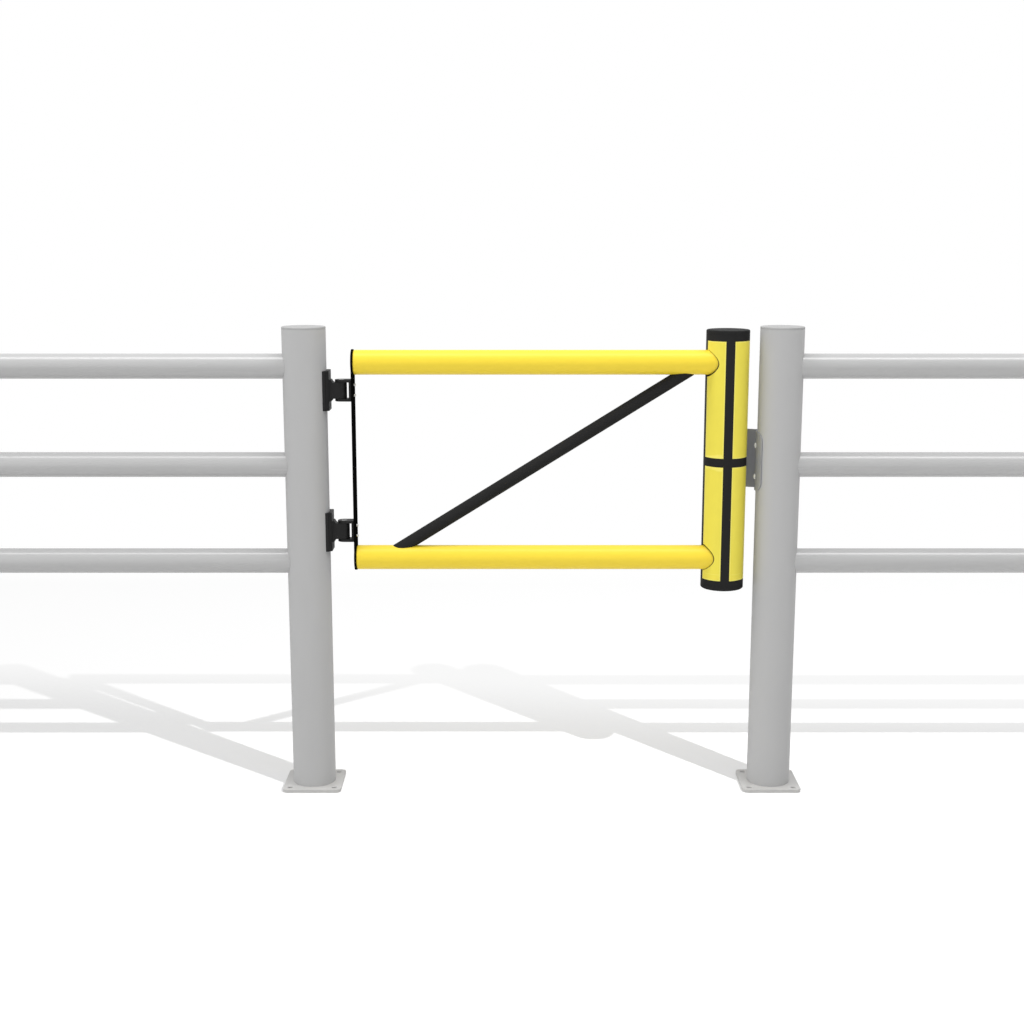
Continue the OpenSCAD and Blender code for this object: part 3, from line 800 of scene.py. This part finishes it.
stile_strip_w = 49 * mm
stile_edge = 0.6 * mm
stile_end_steps = 48
fork_bolt_spacing = 24 * mm
fork_bolt_d = 6 * mm
bolt_cut_start = -2.4 * mm
bolt_cut_end = 10 * mm
rail_screw_head_d = 16 * mm
rail_screw_head_h = 2.5 * mm
rail_screw_socket = 8 * mm
rail_screw_shank = 0.6 * mm
stile_black = (0.003, 0.003, 0.003)
stile_coat = grained_finish("smooth black powder coat", stile_black, patch=20 * mm, patch_tint=0.15,
                            grain=1.4 * mm, depth=0.015 * mm, roughness=(0.55, 0.65), gloss=0.0)

low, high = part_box("hinge_stile")
round_r = (high.y - low.y) / 2
strip_half = stile_strip_w / 2
neck_rise = math.sqrt(round_r ** 2 - strip_half ** 2)
turn_from = math.asin(neck_rise / round_r)
turns = [-turn_from + (math.pi + 2 * turn_from) * step / stile_end_steps
         for step in range(stile_end_steps + 1)]
outline = []
for centre_z, up in ((high.z - round_r, 1), (low.z + round_r, -1)):
    outline += [(up * round_r * math.cos(turn), centre_z + up * round_r * math.sin(turn))
                for turn in turns]
mesh = bmesh.new()
faces = [[mesh.verts.new((x, y, z)) for y, z in outline] for x in (low.x, high.x)]
skin(mesh, *faces)
for face in faces:
    fill(mesh, [face])
stile = make_piece(mesh, "hinge_stile_bar", stile_coat, crease=None)
for level in ("upper", "lower"):
    for side in (-1, 1):
        centre = middle(f"{level}_fork_bolts") + Vector((0, 0, side * fork_bolt_spacing / 2))
        bolt_hole = bmesh.new()
        plan = circle(fork_bolt_d / 2 + head_gap, (0, 0), hole_steps)
        upright(bolt_hole, plan, bolt_cut_start, bolt_cut_end)
        bolt_hole.transform(Matrix.Translation((low.x, centre.y, centre.z)) @ to_x_axis)
        combine(stile, bolt_hole, "DIFFERENCE")
ease_edges(stile, stile_edge)
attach(stile, "gate_leaf")
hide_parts("hinge_stile")

for row in ("top", "bottom"):
    axis = middle(f"gate_rail_{row}")
    mesh = bmesh.new()
    seat = Vector((low.x, axis.y, axis.z))
    socket_screw(mesh, Matrix.Translation(seat) @ to_minus_x_axis,
                 rail_screw_head_d, rail_screw_head_h, rail_screw_socket, rail_screw_shank)
    screw = make_piece(mesh, f"{row}_rail_end_screw", stile_coat)
    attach(screw, "gate_leaf")

# ---- Gate rails ------------------------------------------------------------------------------
# Two extruded tubes of bright yellow polymer carry the leaf. Each is closed and chamfered at the
# stile, and its other end passes into the leading tube.

gate_rail_wall = 5 * mm
gate_rail_end_wall = 12 * mm
gate_rail_chamfer = 2 * mm
gate_rail_edge = 0.5 * mm
gate_rail_shoulder = 0.8 * mm
gate_rail_inner_edge = 0.3 * mm
gate_rail_floor_ease = 2 * mm
gate_yellow = (0.895, 0.677, 0.048)
gate_finish = grained_finish("yellow extruded polymer", gate_yellow, patch=50 * mm, patch_tint=0.012,
                             grain=1.1 * mm, depth=0.01 * mm, stretch=(0.05, 1, 1),
                             roughness=(0.36, 0.42), gloss=0.3)

for row in ("top", "bottom"):
    node = f"gate_rail_{row}"
    low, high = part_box(node)
    axis = middle(node)
    radius = (high.z - low.z) / 2
    inner = radius - gate_rail_wall
    floor_x = low.x + gate_rail_end_wall
    profile = eased([
        (0, low.x, 0), (radius - gate_rail_chamfer, low.x, gate_rail_edge),
        (radius, low.x + gate_rail_chamfer, gate_rail_shoulder), (radius, high.x, gate_rail_edge),
        (inner, high.x, gate_rail_inner_edge), (inner, floor_x, gate_rail_floor_ease),
        (0, floor_x, 0)])
    mesh = bmesh.new()
    turned(mesh, profile, Matrix.Translation((0, axis.y, axis.z)) @ to_x_axis)
    rail = make_piece(mesh, node + "_tube", gate_finish)
    even_shading(rail)
    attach(rail, "gate_leaf")
    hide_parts(node)

# ---- Diagonal brace --------------------------------------------------------------------------
# A slim black tube runs from the bottom rail near the stile to the top rail near the leading
# tube. Both of its ends are mitred to sit on the round rails, and bonded there.

brace_d = 29.5 * mm
brace_wall = 4 * mm
brace_low_x = 67 * mm
brace_high_x = 59 * mm
brace_seat_gap = 0.2 * mm
brace_steps = 64
brace_black = (0.0226, 0.0226, 0.0226)
black_finish = grained_finish("black extruded polymer", brace_black, patch=30 * mm, patch_tint=0.06,
                              grain=1.0 * mm, depth=0.012 * mm, stretch=(0.3, 1, 0.3),
                              roughness=(0.42, 0.5), gloss=0.02)

rail_top, rail_bottom = middle("gate_rail_top"), middle("gate_rail_bottom")
low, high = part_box("gate_rail_top")
gate_rail_r = (high.z - low.z) / 2
rail_seat = gate_rail_r + brace_seat_gap
brace_foot = Vector((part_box("gate_rail_bottom")[0].x + brace_low_x, rail_bottom.y, rail_bottom.z))
brace_head = Vector((middle("leading_tube").x - brace_high_x, rail_top.y, rail_top.z))
brace_run = (brace_head - brace_foot).normalized()
brace_up = Vector((-brace_run.z, 0, brace_run.x))


def brace_end(mesh, radius, centre_z, up):
    """The loop where a tube of that radius about the brace's axis meets a rail's round side"""
    points = []
    for step in range(brace_steps):
        turn = 2 * math.pi * step / brace_steps
        off_axis = brace_up * radius * math.cos(turn) + Vector((0, radius * math.sin(turn), 0))
        height = centre_z + up * math.sqrt(rail_seat ** 2 - off_axis.y ** 2)
        along = (height - brace_foot.z - off_axis.z) / brace_run.z
        points.append(mesh.verts.new(brace_foot + brace_run * along + off_axis))
    return points


mesh = bmesh.new()
outer_r, inner_r = brace_d / 2, brace_d / 2 - brace_wall
ends = [brace_end(mesh, radius, centre_z, up) for radius, centre_z, up in (
    (outer_r, rail_bottom.z, 1), (outer_r, rail_top.z, -1),
    (inner_r, rail_top.z, -1), (inner_r, rail_bottom.z, 1))]
for end, following in zip(ends, ends[1:] + ends[:1]):
    skin(mesh, end, following)
brace = make_piece(mesh, "gate_brace_tube", black_finish)
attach(brace, "gate_leaf")
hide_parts("gate_brace")

# ---- Leading tube ----------------------------------------------------------------------------
# A wide black tube stands at the leaf's free end, a little behind the rails. Two holes bored in
# its near side let the gate rails in, with a shadow gap around each rail.

lead_wall = 6 * mm
lead_hole_extra = 1.5 * mm
lead_hole_shift = 1.2 * mm
lead_hole_ease = 0.6 * mm

low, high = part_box("leading_tube")
lead_axis = middle("leading_tube")
lead_r = (high.x - low.x) / 2
lead_hole_r = gate_rail_r + lead_hole_extra
lead_hole_zs = [rail_bottom.z + lead_hole_shift, rail_top.z - lead_hole_shift]
lead_bore = (math.pi, lead_axis.y - rail_top.y, lead_hole_r, lead_hole_zs)
mesh = bmesh.new()
bored_tube(mesh, lead_axis, lead_r, lead_wall, low.z, high.z, lead_bore, lead_hole_ease)
tube = make_piece(mesh, "leading_tube_body", black_finish)
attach(tube, "gate_leaf")
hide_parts("leading_tube")

# ---- Leading tube caps -----------------------------------------------------------------------
# A thick moulded cap plugs each end of the leading tube. Its rim is as wide as the tube and has
# a chamfered edge, and a hairline joint shows between the two.

lead_cap_rim = 10 * mm
lead_cap_chamfer = 2 * mm
lead_cap_ease = 0.6 * mm
cap_finish = grained_finish("black moulded polymer", brace_black, patch=24 * mm, patch_tint=0.06,
                            grain=0.7 * mm, depth=0.03 * mm, roughness=(0.5, 0.58), gloss=0.02)

for end, up in (("top", 1), ("bottom", -1)):
    node = f"leading_tube_cap_{end}"
    low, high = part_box(node)
    rim_out = high.z if up > 0 else low.z
    plug_end = low.z if up > 0 else high.z
    rim_corners = [(lead_r - lead_cap_chamfer, rim_out, lead_cap_ease),
                   (lead_r, rim_out - up * lead_cap_chamfer, lead_cap_ease)]
    profile = cap_profile(rim_out, rim_corners, rim_out - up * lead_cap_rim, lead_r,
                          lead_r - lead_wall - cap_plug_gap, plug_end)
    mesh = bmesh.new()
    turned(mesh, profile, Matrix.Translation((lead_axis.x, lead_axis.y, 0)))
    cap = make_piece(mesh, node + "_moulding", cap_finish)
    even_shading(cap)
    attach(cap, "gate_leaf")
    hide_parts(node)

# ---- Marker panels ---------------------------------------------------------------------------
# Eight panels of stiff yellow marker film are stuck round the leading tube, in four columns and
# two rows with bare black bands between. Two are notched for the rails in each row. A highlight
# is painted in a paler yellow along each panel's cut rim, and along a fold on the lower row.

film_t = 0.6 * mm
film_seat = 0.1 * mm
film_front_gap = math.radians(24)
film_side_gap = math.radians(38)
film_sweep = math.pi / 2 - (film_front_gap + film_side_gap) / 2
film_steps = 36
# A highlight is painted along the film's cut rims as a paler band of this width
film_rim = 2.6 * mm
film_rim_full = 0.6
film_rim_highlight = 0.6
film_cell = 3.5 * mm
film_cell_depth = 0.02 * mm
film_notch_gap = 1.2 * mm
film_notch_front = 1.0 * mm
film_notch_shift = 0.6 * mm
film_notch_steps = 60
film_notch_least = 0.01 * mm
# On the lower row a highlight is painted along the fold above the foot, as a paler line
film_crease_up = 15 * mm
film_crease_w = 1.0 * mm
film_crease_full = 0.4
film_crease_highlight = 0.35
film_yellow = (0.834, 0.721, 0.085)
# The paler yellow in which the highlights on the rims and on the fold are painted
film_highlight_yellow = (0.93, 0.84, 0.2)


def calc(tree, operation, *values):
    """The result of a sum that the shader works out, such as the larger of two values"""
    return add_node(tree, "ShaderNodeMath", dict(enumerate(values)), operation=operation).outputs[0]


def marker_film(name, creased):
    """The film's finish: a fine honeycomb in relief, a highlight painted as a paler band along the cut
    rim, and on the lower row the fold's highlight painted as a paler line above the foot. The
    panel's UV runs in metres from its lower corner"""
    finish = grained_finish(name, film_yellow, patch=40 * mm, patch_tint=0.015,
                            grain=0.8 * mm, depth=0.004 * mm, roughness=(0.4, 0.5), gloss=0.25)
    tree = finish.node_tree
    shader = tree.nodes["Principled BSDF"]
    spread = add_node(tree, "ShaderNodeUVMap", uv_map="edges").outputs["UV"]
    reach = add_node(tree, "ShaderNodeSeparateXYZ", {"Vector": spread})
    near_edge = calc(tree, "MINIMUM", reach.outputs["X"], reach.outputs["Y"])
    # Painted highlight: a paler band along the panel's cut rims
    pale = ranged(tree, near_edge, (film_rim, film_rim * film_rim_full), (0, film_rim_highlight))
    if creased:
        # Painted highlight of the fold: a paler line across the lower row, above the foot
        lay = add_node(tree, "ShaderNodeUVMap", uv_map="place").outputs["UV"]
        up = add_node(tree, "ShaderNodeSeparateXYZ", {"Vector": lay}).outputs["Y"]
        far = calc(tree, "ABSOLUTE", calc(tree, "SUBTRACT", up, film_crease_up))
        span = (film_crease_w, film_crease_w * film_crease_full)
        line = ranged(tree, far, span, (0, film_crease_highlight))
        pale = calc(tree, "MAXIMUM", pale, line)
    painted = shader.inputs["Base Color"].links[0].from_socket
    # The painted highlights mix the paler yellow into the film's own colour
    highlighted = add_node(tree, "ShaderNodeMixRGB", {
        "Fac": pale, "Color1": painted, "Color2": (*film_highlight_yellow, 1)})
    tree.links.new(highlighted.outputs["Color"], shader.inputs["Base Color"])
    cells = add_node(tree, "ShaderNodeTexVoronoi", {
        "Vector": add_node(tree, "ShaderNodeTexCoord").outputs["Object"], "Scale": 1 / film_cell})
    relief = shader.inputs["Normal"].links[0].from_node
    honeycomb = add_node(tree, "ShaderNodeBump", {
        "Height": cells.outputs["Distance"], "Strength": 0.5, "Distance": film_cell_depth,
        "Normal": relief.outputs["Normal"]})
    tree.links.new(honeycomb.outputs["Normal"], shader.inputs["Normal"])
    return finish


def film_columns(start, end, notched):
    """(angle, half of the notch's height) at each column of a panel from one angle to another"""
    bearing, hole_aside, hole_r, _ = lead_bore
    aside, notch_r = hole_aside + film_notch_front, hole_r + film_notch_gap
    face = lead_r + film_seat + film_t
    plain = [start + (end - start) * step / film_steps for step in range(film_steps + 1)]
    if not notched:
        return [(angle, 0.0) for angle in plain]
    turns = [math.pi * step / film_notch_steps for step in range(film_notch_steps + 1)]
    rim = [(bearing + math.asin((aside + notch_r * math.cos(turn)) / face), notch_r * math.sin(turn))
           for turn in turns]

    def notch(angle):
        if not rim[-1][0] < angle < rim[0][0]:
            return 0.0
        off = face * math.sin(angle - bearing) - aside
        return math.sqrt(max(0, notch_r ** 2 - off ** 2))

    columns = [(angle, half) for angle, half in rim if start < angle < end]
    columns += [(angle, notch(angle)) for angle in plain
                if angle in (start, end) or notch(angle) == 0]
    return sorted(columns)


def film_panel(mesh, columns, low_z, high_z, bore_z):
    """The panel's two faces and its edges. Each column has its foot, the notch's lower and upper
    edge, and its head; where there is no notch those two are one point"""
    faces = []
    for face_r in (lead_r + film_seat, lead_r + film_seat + film_t):
        rows = []
        for angle, half in columns:
            spot = (lead_axis.x + face_r * math.cos(angle), lead_axis.y + face_r * math.sin(angle))
            points = [mesh.verts.new((*spot, height)) for height in (low_z, bore_z - half)]
            open_notch = half > film_notch_least
            points.append(mesh.verts.new((*spot, bore_z + half)) if open_notch else points[1])
            points.append(mesh.verts.new((*spot, high_z)))
            rows.append(points)
        for row, following in zip(rows, rows[1:]):
            for part in (0, 2):
                mesh.faces.new((row[part], following[part], following[part + 1], row[part + 1]))
        faces.append(rows)
    pairs = {}
    for inner_row, outer_row in zip(*faces):
        pairs.update(zip(inner_row, outer_row))
    rims = [edge for edge in mesh.edges if len(edge.link_faces) == 1 and edge.verts[0] in pairs]
    for edge in rims:
        start, end = edge.verts
        mesh.faces.new((start, end, pairs[end], pairs[start]))


def lay_out_film(panel, columns, low_z, high_z):
    """Two UV layers in metres: the place on the flat panel, and the distance to its nearest edges"""
    place = panel.data.uv_layers.new(name="place")
    edges = panel.data.uv_layers.new(name="edges")
    start, end = columns[0][0], columns[-1][0]
    for loop in panel.data.loops:
        point = panel.data.vertices[loop.vertex_index].co
        angle = math.atan2(point.y - lead_axis.y, point.x - lead_axis.x) % (2 * math.pi)
        across, left = (angle - start) * lead_r, (end - angle) * lead_r
        up, down = point.z - low_z, high_z - point.z
        place.data[loop.index].uv = (across, up)
        edges.data[loop.index].uv = (min(across, left), min(up, down))


upper_film = marker_film("yellow marker film", creased=False)
lower_film = marker_film("creased yellow marker film", creased=True)

for row, film, notch_z in (("upper", upper_film, lead_hole_zs[1] - film_notch_shift),
                           ("lower", lower_film, lead_hole_zs[0] + film_notch_shift)):
    for column, side, face in (("front_left", -1, -1), ("front_right", 1, -1),
                               ("back_left", -1, 1), ("back_right", 1, 1)):
        node = f"panel_{row}_{column}"
        low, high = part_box(node)
        off_square = side * (film_front_gap + film_sweep) / 2
        mid_bearing = face * (math.pi / 2 - off_square) % (2 * math.pi)
        notched = side < 0
        columns = film_columns(
            mid_bearing - film_sweep / 2, mid_bearing + film_sweep / 2, notched)
        mesh = bmesh.new()
        film_panel(mesh, columns, low.z, high.z, notch_z if notched else middle(node).z)
        panel = make_piece(mesh, node + "_film", film)
        lay_out_film(panel, columns, low.z, high.z)
        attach(panel, "gate_leaf")
        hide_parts(node)

# ---- Hinge forks -----------------------------------------------------------------------------
# The leaf's half of each hinge is a fork of 6 mm steel with nearly square corners, powder coated
# black. Its round-nosed arms hold the barrel between them, and its back is bolted to the stile.

fork_t = 6 * mm
fork_bend = 1.5 * mm
fork_edge = 0.4 * mm
fork_bolt_head_d = 12 * mm
pin_peen = 1 * mm
nose_steps = 32
bore_steps = 64
mirrored = Matrix.Diagonal((1, 1, -1, 1))

for level in ("upper", "lower"):
    node = f"{level}_hinge_fork"
    low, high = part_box(node)
    centre = middle(node)
    nose_r = (high.y - low.y) / 2
    mesh = bmesh.new()
    bend = eased([
        (low.x, high.z, 0), (low.x, high.z - fork_t, 0), (high.x - fork_t, high.z - fork_t, 0),
        (high.x - fork_t, low.z + fork_t, 0), (low.x, low.z + fork_t, 0), (low.x, low.z, 0),
        (high.x, low.z, fork_bend), (high.x, high.z, fork_bend)], steps=8)
    sides = [[mesh.verts.new((point.x, y, point.y)) for point in bend] for y in (low.y, high.y)]
    skin(mesh, *sides)
    for side in sides:
        fill(mesh, [side])
    fork = make_piece(mesh, node + "_strip", hinge_coat, crease=None)
    turns = [math.pi / 2 + math.pi * step / nose_steps for step in range(nose_steps + 1)]
    outline = [hinge_axis + heading(turn) * nose_r for turn in turns]
    outline += [Vector((high.x + overcut, y)) for y in (low.y, high.y)]
    plan = bmesh.new()
    upright(plan, outline, low.z - overcut, high.z + overcut)
    combine(fork, plan, "INTERSECT")
    bore = bmesh.new()
    bore_r, mouth_r = pin_bore / 2, pin_bore / 2 + pin_peen
    turned(bore, [
        (0, low.z - overcut), (mouth_r, low.z - overcut), (mouth_r, low.z),
        (bore_r, low.z + pin_peen), (bore_r, high.z - pin_peen), (mouth_r, high.z),
        (mouth_r, high.z + overcut), (0, high.z + overcut)],
        Matrix.Translation((*hinge_axis, 0)), bore_steps)
    combine(fork, bore, "DIFFERENCE")
    for side in (-1, 1):
        mouth = bmesh.new()
        seat = (high.x - fork_t, centre.y, centre.z + side * fork_bolt_spacing / 2)
        place = Matrix.Translation(seat) @ to_x_axis @ mirrored
        profile = sink_profile(fork_bolt_head_d, fork_bolt_d, -2 * fork_t)
        turned(mouth, profile, place, screw_steps)
        combine(fork, mouth, "DIFFERENCE")
    ease_edges(fork, fork_edge)
    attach(fork, "gate_leaf")
    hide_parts(node)

# ---- Hinge pins ------------------------------------------------------------------------------
# A ground, zinc-plated steel pin runs through each fork and barrel. Both of its ends are peened
# over into the fork's countersunk mouths, so they lie flush with the arms.

pin_gap = 0.05 * mm
peened_dip = 0.3 * mm
peened_dip_share = 0.6
pin_grey = (0.36, 0.36, 0.355)
pin_finish = grained_finish("ground steel", pin_grey, patch=3 * mm, patch_tint=0.06,
                            grain=0.3 * mm, depth=0.006 * mm, roughness=(0.5, 0.6),
                            gloss=0.2, metal=0.2)

for level in ("upper", "lower"):
    node = f"{level}_hinge_pin"
    low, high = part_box(node)
    shank = pin_bore / 2 - pin_gap
    spread = shank + pin_peen
    dip_r = shank * peened_dip_share
    mesh = bmesh.new()
    turned(mesh, [
        (0, low.z + peened_dip), (dip_r, low.z + peened_dip), (shank, low.z), (spread, low.z),
        (shank, low.z + pin_peen), (shank, high.z - pin_peen), (spread, high.z), (shank, high.z),
        (dip_r, high.z - peened_dip), (0, high.z - peened_dip)],
        Matrix.Translation((*hinge_axis, 0)), bore_steps)
    pin = make_piece(mesh, node + "_turned", pin_finish, crease=25)
    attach(pin, "gate_leaf")
    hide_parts(node)

# ---- Fork bolts ------------------------------------------------------------------------------
# Two zinc-plated M6 bolts fix each fork to the stile. Their countersunk heads lie flush inside
# the fork's back, and their threaded ends come out on the far side of the stile.

bolt_socket_across = 4 * mm
bolt_socket_depth = 2.5 * mm
bolt_thread_pitch = 1 * mm
bolt_thread_depth = 0.35 * mm
bolt_thread_points = 9

for level in ("upper", "lower"):
    node = f"{level}_fork_bolts"
    low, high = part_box(node)
    centre = middle(node)
    thread = [(bolt_thread_depth * (i % 2), i * bolt_thread_pitch / 2)
              for i in range(1, bolt_thread_points)]
    mesh = bmesh.new()
    for side in (-1, 1):
        seat = (low.x, centre.y, centre.z + side * fork_bolt_spacing / 2)
        place = Matrix.Translation(seat) @ to_x_axis @ mirrored
        flush_screw(mesh, place, fork_bolt_head_d, fork_bolt_d, bolt_socket_across,
                    bolt_socket_depth, high.x - low.x, thread)
    bolts = make_piece(mesh, node + "_pair", zinc_finish)
    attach(bolts, "gate_leaf")
    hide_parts(node)

# ---- Floor -----------------------------------------------------------------------------------
# A plain matt floor, which is not part of the gate. It shows the gate's shadow where the shadow
# can fall, and whitens towards its edges so that it runs into the backdrop without a line.

floor_half = 30.0
floor_drop = 0.2 * mm
floor_seen = 0.72
floor_bounce = 0.49
shadow_fade = (0.32, 0.95, 0.75)
fade_slant = 0.12
back_fade = (1.3, 2.4, 1.0)
front_fade = (-1.5, -2.6, 1.0)
side_fade = (3.4, 4.8, 1.0)

floor_mesh = bmesh.new()
floor_mesh.faces.new([
    floor_mesh.verts.new((across * floor_half, along * floor_half, -floor_drop))
    for across, along in ((-1, -1), (1, -1), (1, 1), (-1, 1))])


def seen_directly(tree):
    """1 for camera, glossy and transmission rays, and 0 for light that bounces on"""
    rays = add_node(tree, "ShaderNodeLightPath").outputs
    shiny = calc(tree, "MAXIMUM", rays["Is Glossy Ray"], rays["Is Transmission Ray"])
    return calc(tree, "MAXIMUM", rays["Is Camera Ray"], shiny)


def fade(tree, value, start, end, share):
    """Rises smoothly from 0 to a share between two places"""
    return ranged(tree, value, (start, end), (0, share), interpolation_type="SMOOTHSTEP")


floor_finish = bpy.data.materials.new("matt white floor")
floor_finish.use_nodes = True
tree = floor_finish.node_tree
tree.nodes.clear()
place = add_node(tree, "ShaderNodeSeparateXYZ", {
    "Vector": add_node(tree, "ShaderNodeNewGeometry").outputs["Position"]})
off_centre = calc(tree, "SUBTRACT", place.outputs["X"], (cad_low.x + cad_high.x) / 2)
sideways = calc(tree, "ABSOLUTE", off_centre)
slanted = calc(tree, "MULTIPLY_ADD", place.outputs["X"], fade_slant, place.outputs["Y"])
fades = [fade(tree, slanted, *shadow_fade), fade(tree, sideways, *side_fade)]
fades += [fade(tree, place.outputs["Y"], *span) for span in (back_fade, front_fade)]
whitest = fades[0]
for other in fades[1:]:
    whitest = calc(tree, "MAXIMUM", whitest, other)
direct = seen_directly(tree)
whitened = calc(tree, "MULTIPLY", whitest, direct)
grey = ranged(tree, direct, (0, 1), (floor_bounce, floor_seen))
matt = add_node(tree, "ShaderNodeBsdfDiffuse", {"Color": grey})
glow = add_node(tree, "ShaderNodeEmission", {"Color": (1, 1, 1, 1), "Strength": 1.0})
both = add_node(tree, "ShaderNodeMixShader", {
    0: whitened, 1: matt.outputs["BSDF"], 2: glow.outputs["Emission"]})
add_node(tree, "ShaderNodeOutputMaterial", {"Surface": both.outputs["Shader"]})
floor = make_piece(floor_mesh, "floor", floor_finish, crease=None)
floor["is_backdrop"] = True

# ---- Light -----------------------------------------------------------------------------------
# A plain bright room, with a long lamp overhead and a wide fill lamp at the front left for the
# gate. Two more light only the floor: a small one high on the right throws the gate's shadow on
# it, and a wide one keeps that shadow pale.

room_strength = 0.68
fill_place = (-3.6, -4.6, 2.0)
fill_side = 3.0
fill_power = 90.0
overhead_place = (0.5, -0.55, 4.6)
overhead_size = (7.0, 0.9)
overhead_power = 150.0
floor_lamp_place = (0.5, 0.4, 6.0)
floor_lamp_side = 4.0
floor_lamp_power = 150.0
shadow_lamp_place = (3.371, -3.0, 4.628)
shadow_lamp_size = 0.03
shadow_lamp_power = 1100.0

scene = bpy.context.scene
room = bpy.data.worlds.new("pale room")
room.use_nodes = True
scene.world = room
tree = room.node_tree
tree.nodes.clear()
surround = add_node(tree, "ShaderNodeBackground", {"Color": (1, 1, 1, 1), "Strength": room_strength})
backdrop = add_node(tree, "ShaderNodeBackground", {"Color": (1, 1, 1, 1), "Strength": 1.0})
both = add_node(tree, "ShaderNodeMixShader", {
    0: seen_directly(tree), 1: surround.outputs["Background"], 2: backdrop.outputs["Background"]})
add_node(tree, "ShaderNodeOutputWorld", {"Surface": both.outputs["Shader"]})


def add_lamp(name, kind, place, power):
    """A lamp of that kind which points at the middle of the gate. The camera doesn't see it"""
    lamp = bpy.data.lights.new(name, kind)
    lamp.energy = power
    holder = bpy.data.objects.new(name, lamp)
    holder.location = place
    from_middle = Vector(place) - (cad_low + cad_high) / 2
    holder.rotation_euler = from_middle.to_track_quat("Z", "Y").to_euler()
    holder.visible_camera = False
    scene.collection.objects.link(holder)
    return holder


floor_only = bpy.data.collections.new("only the floor")
floor_only.objects.link(floor)
all_but_floor = bpy.data.collections.new("all but the floor")
all_but_floor.objects.link(floor)
all_but_floor.collection_objects[0].light_linking.link_state = "EXCLUDE"

fill_lamp = add_lamp("fill lamp", "AREA", fill_place, fill_power)
fill_lamp.data.size = fill_side
fill_lamp.visible_glossy = False
fill_lamp.light_linking.blocker_collection = floor_only
overhead = add_lamp("overhead lamp", "AREA", overhead_place, overhead_power)
overhead.data.shape = "RECTANGLE"
overhead.data.size, overhead.data.size_y = overhead_size
overhead.light_linking.receiver_collection = all_but_floor
floor_lamp = add_lamp("floor lamp", "AREA", floor_lamp_place, floor_lamp_power)
floor_lamp.data.size = floor_lamp_side
floor_lamp.light_linking.receiver_collection = floor_only
floor_lamp.light_linking.blocker_collection = floor_only
shadow_lamp = add_lamp("shadow lamp", "POINT", shadow_lamp_place, shadow_lamp_power)
shadow_lamp.data.shadow_soft_size = shadow_lamp_size
shadow_lamp.light_linking.receiver_collection = floor_only

# ---- Camera ----------------------------------------------------------------------------------
# The camera stands straight in front of the leaf, a little above the posts' height, and looks
# slightly down at the gate.

camera_lens = 53.57
sensor_width = 36
camera_place = (0.47745, -3.5036, 1.3430)
camera_tilt = math.radians(79.087)

camera = bpy.data.cameras.new("camera")
camera.lens = camera_lens
camera.sensor_width = sensor_width
viewer = bpy.data.objects.new("camera", camera)
viewer.location = camera_place
viewer.rotation_euler = (camera_tilt, 0, 0)
scene.collection.objects.link(viewer)
scene.camera = viewer
scene.view_settings.view_transform = "Standard"

bpy.context.view_layer.update()
low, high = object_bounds()
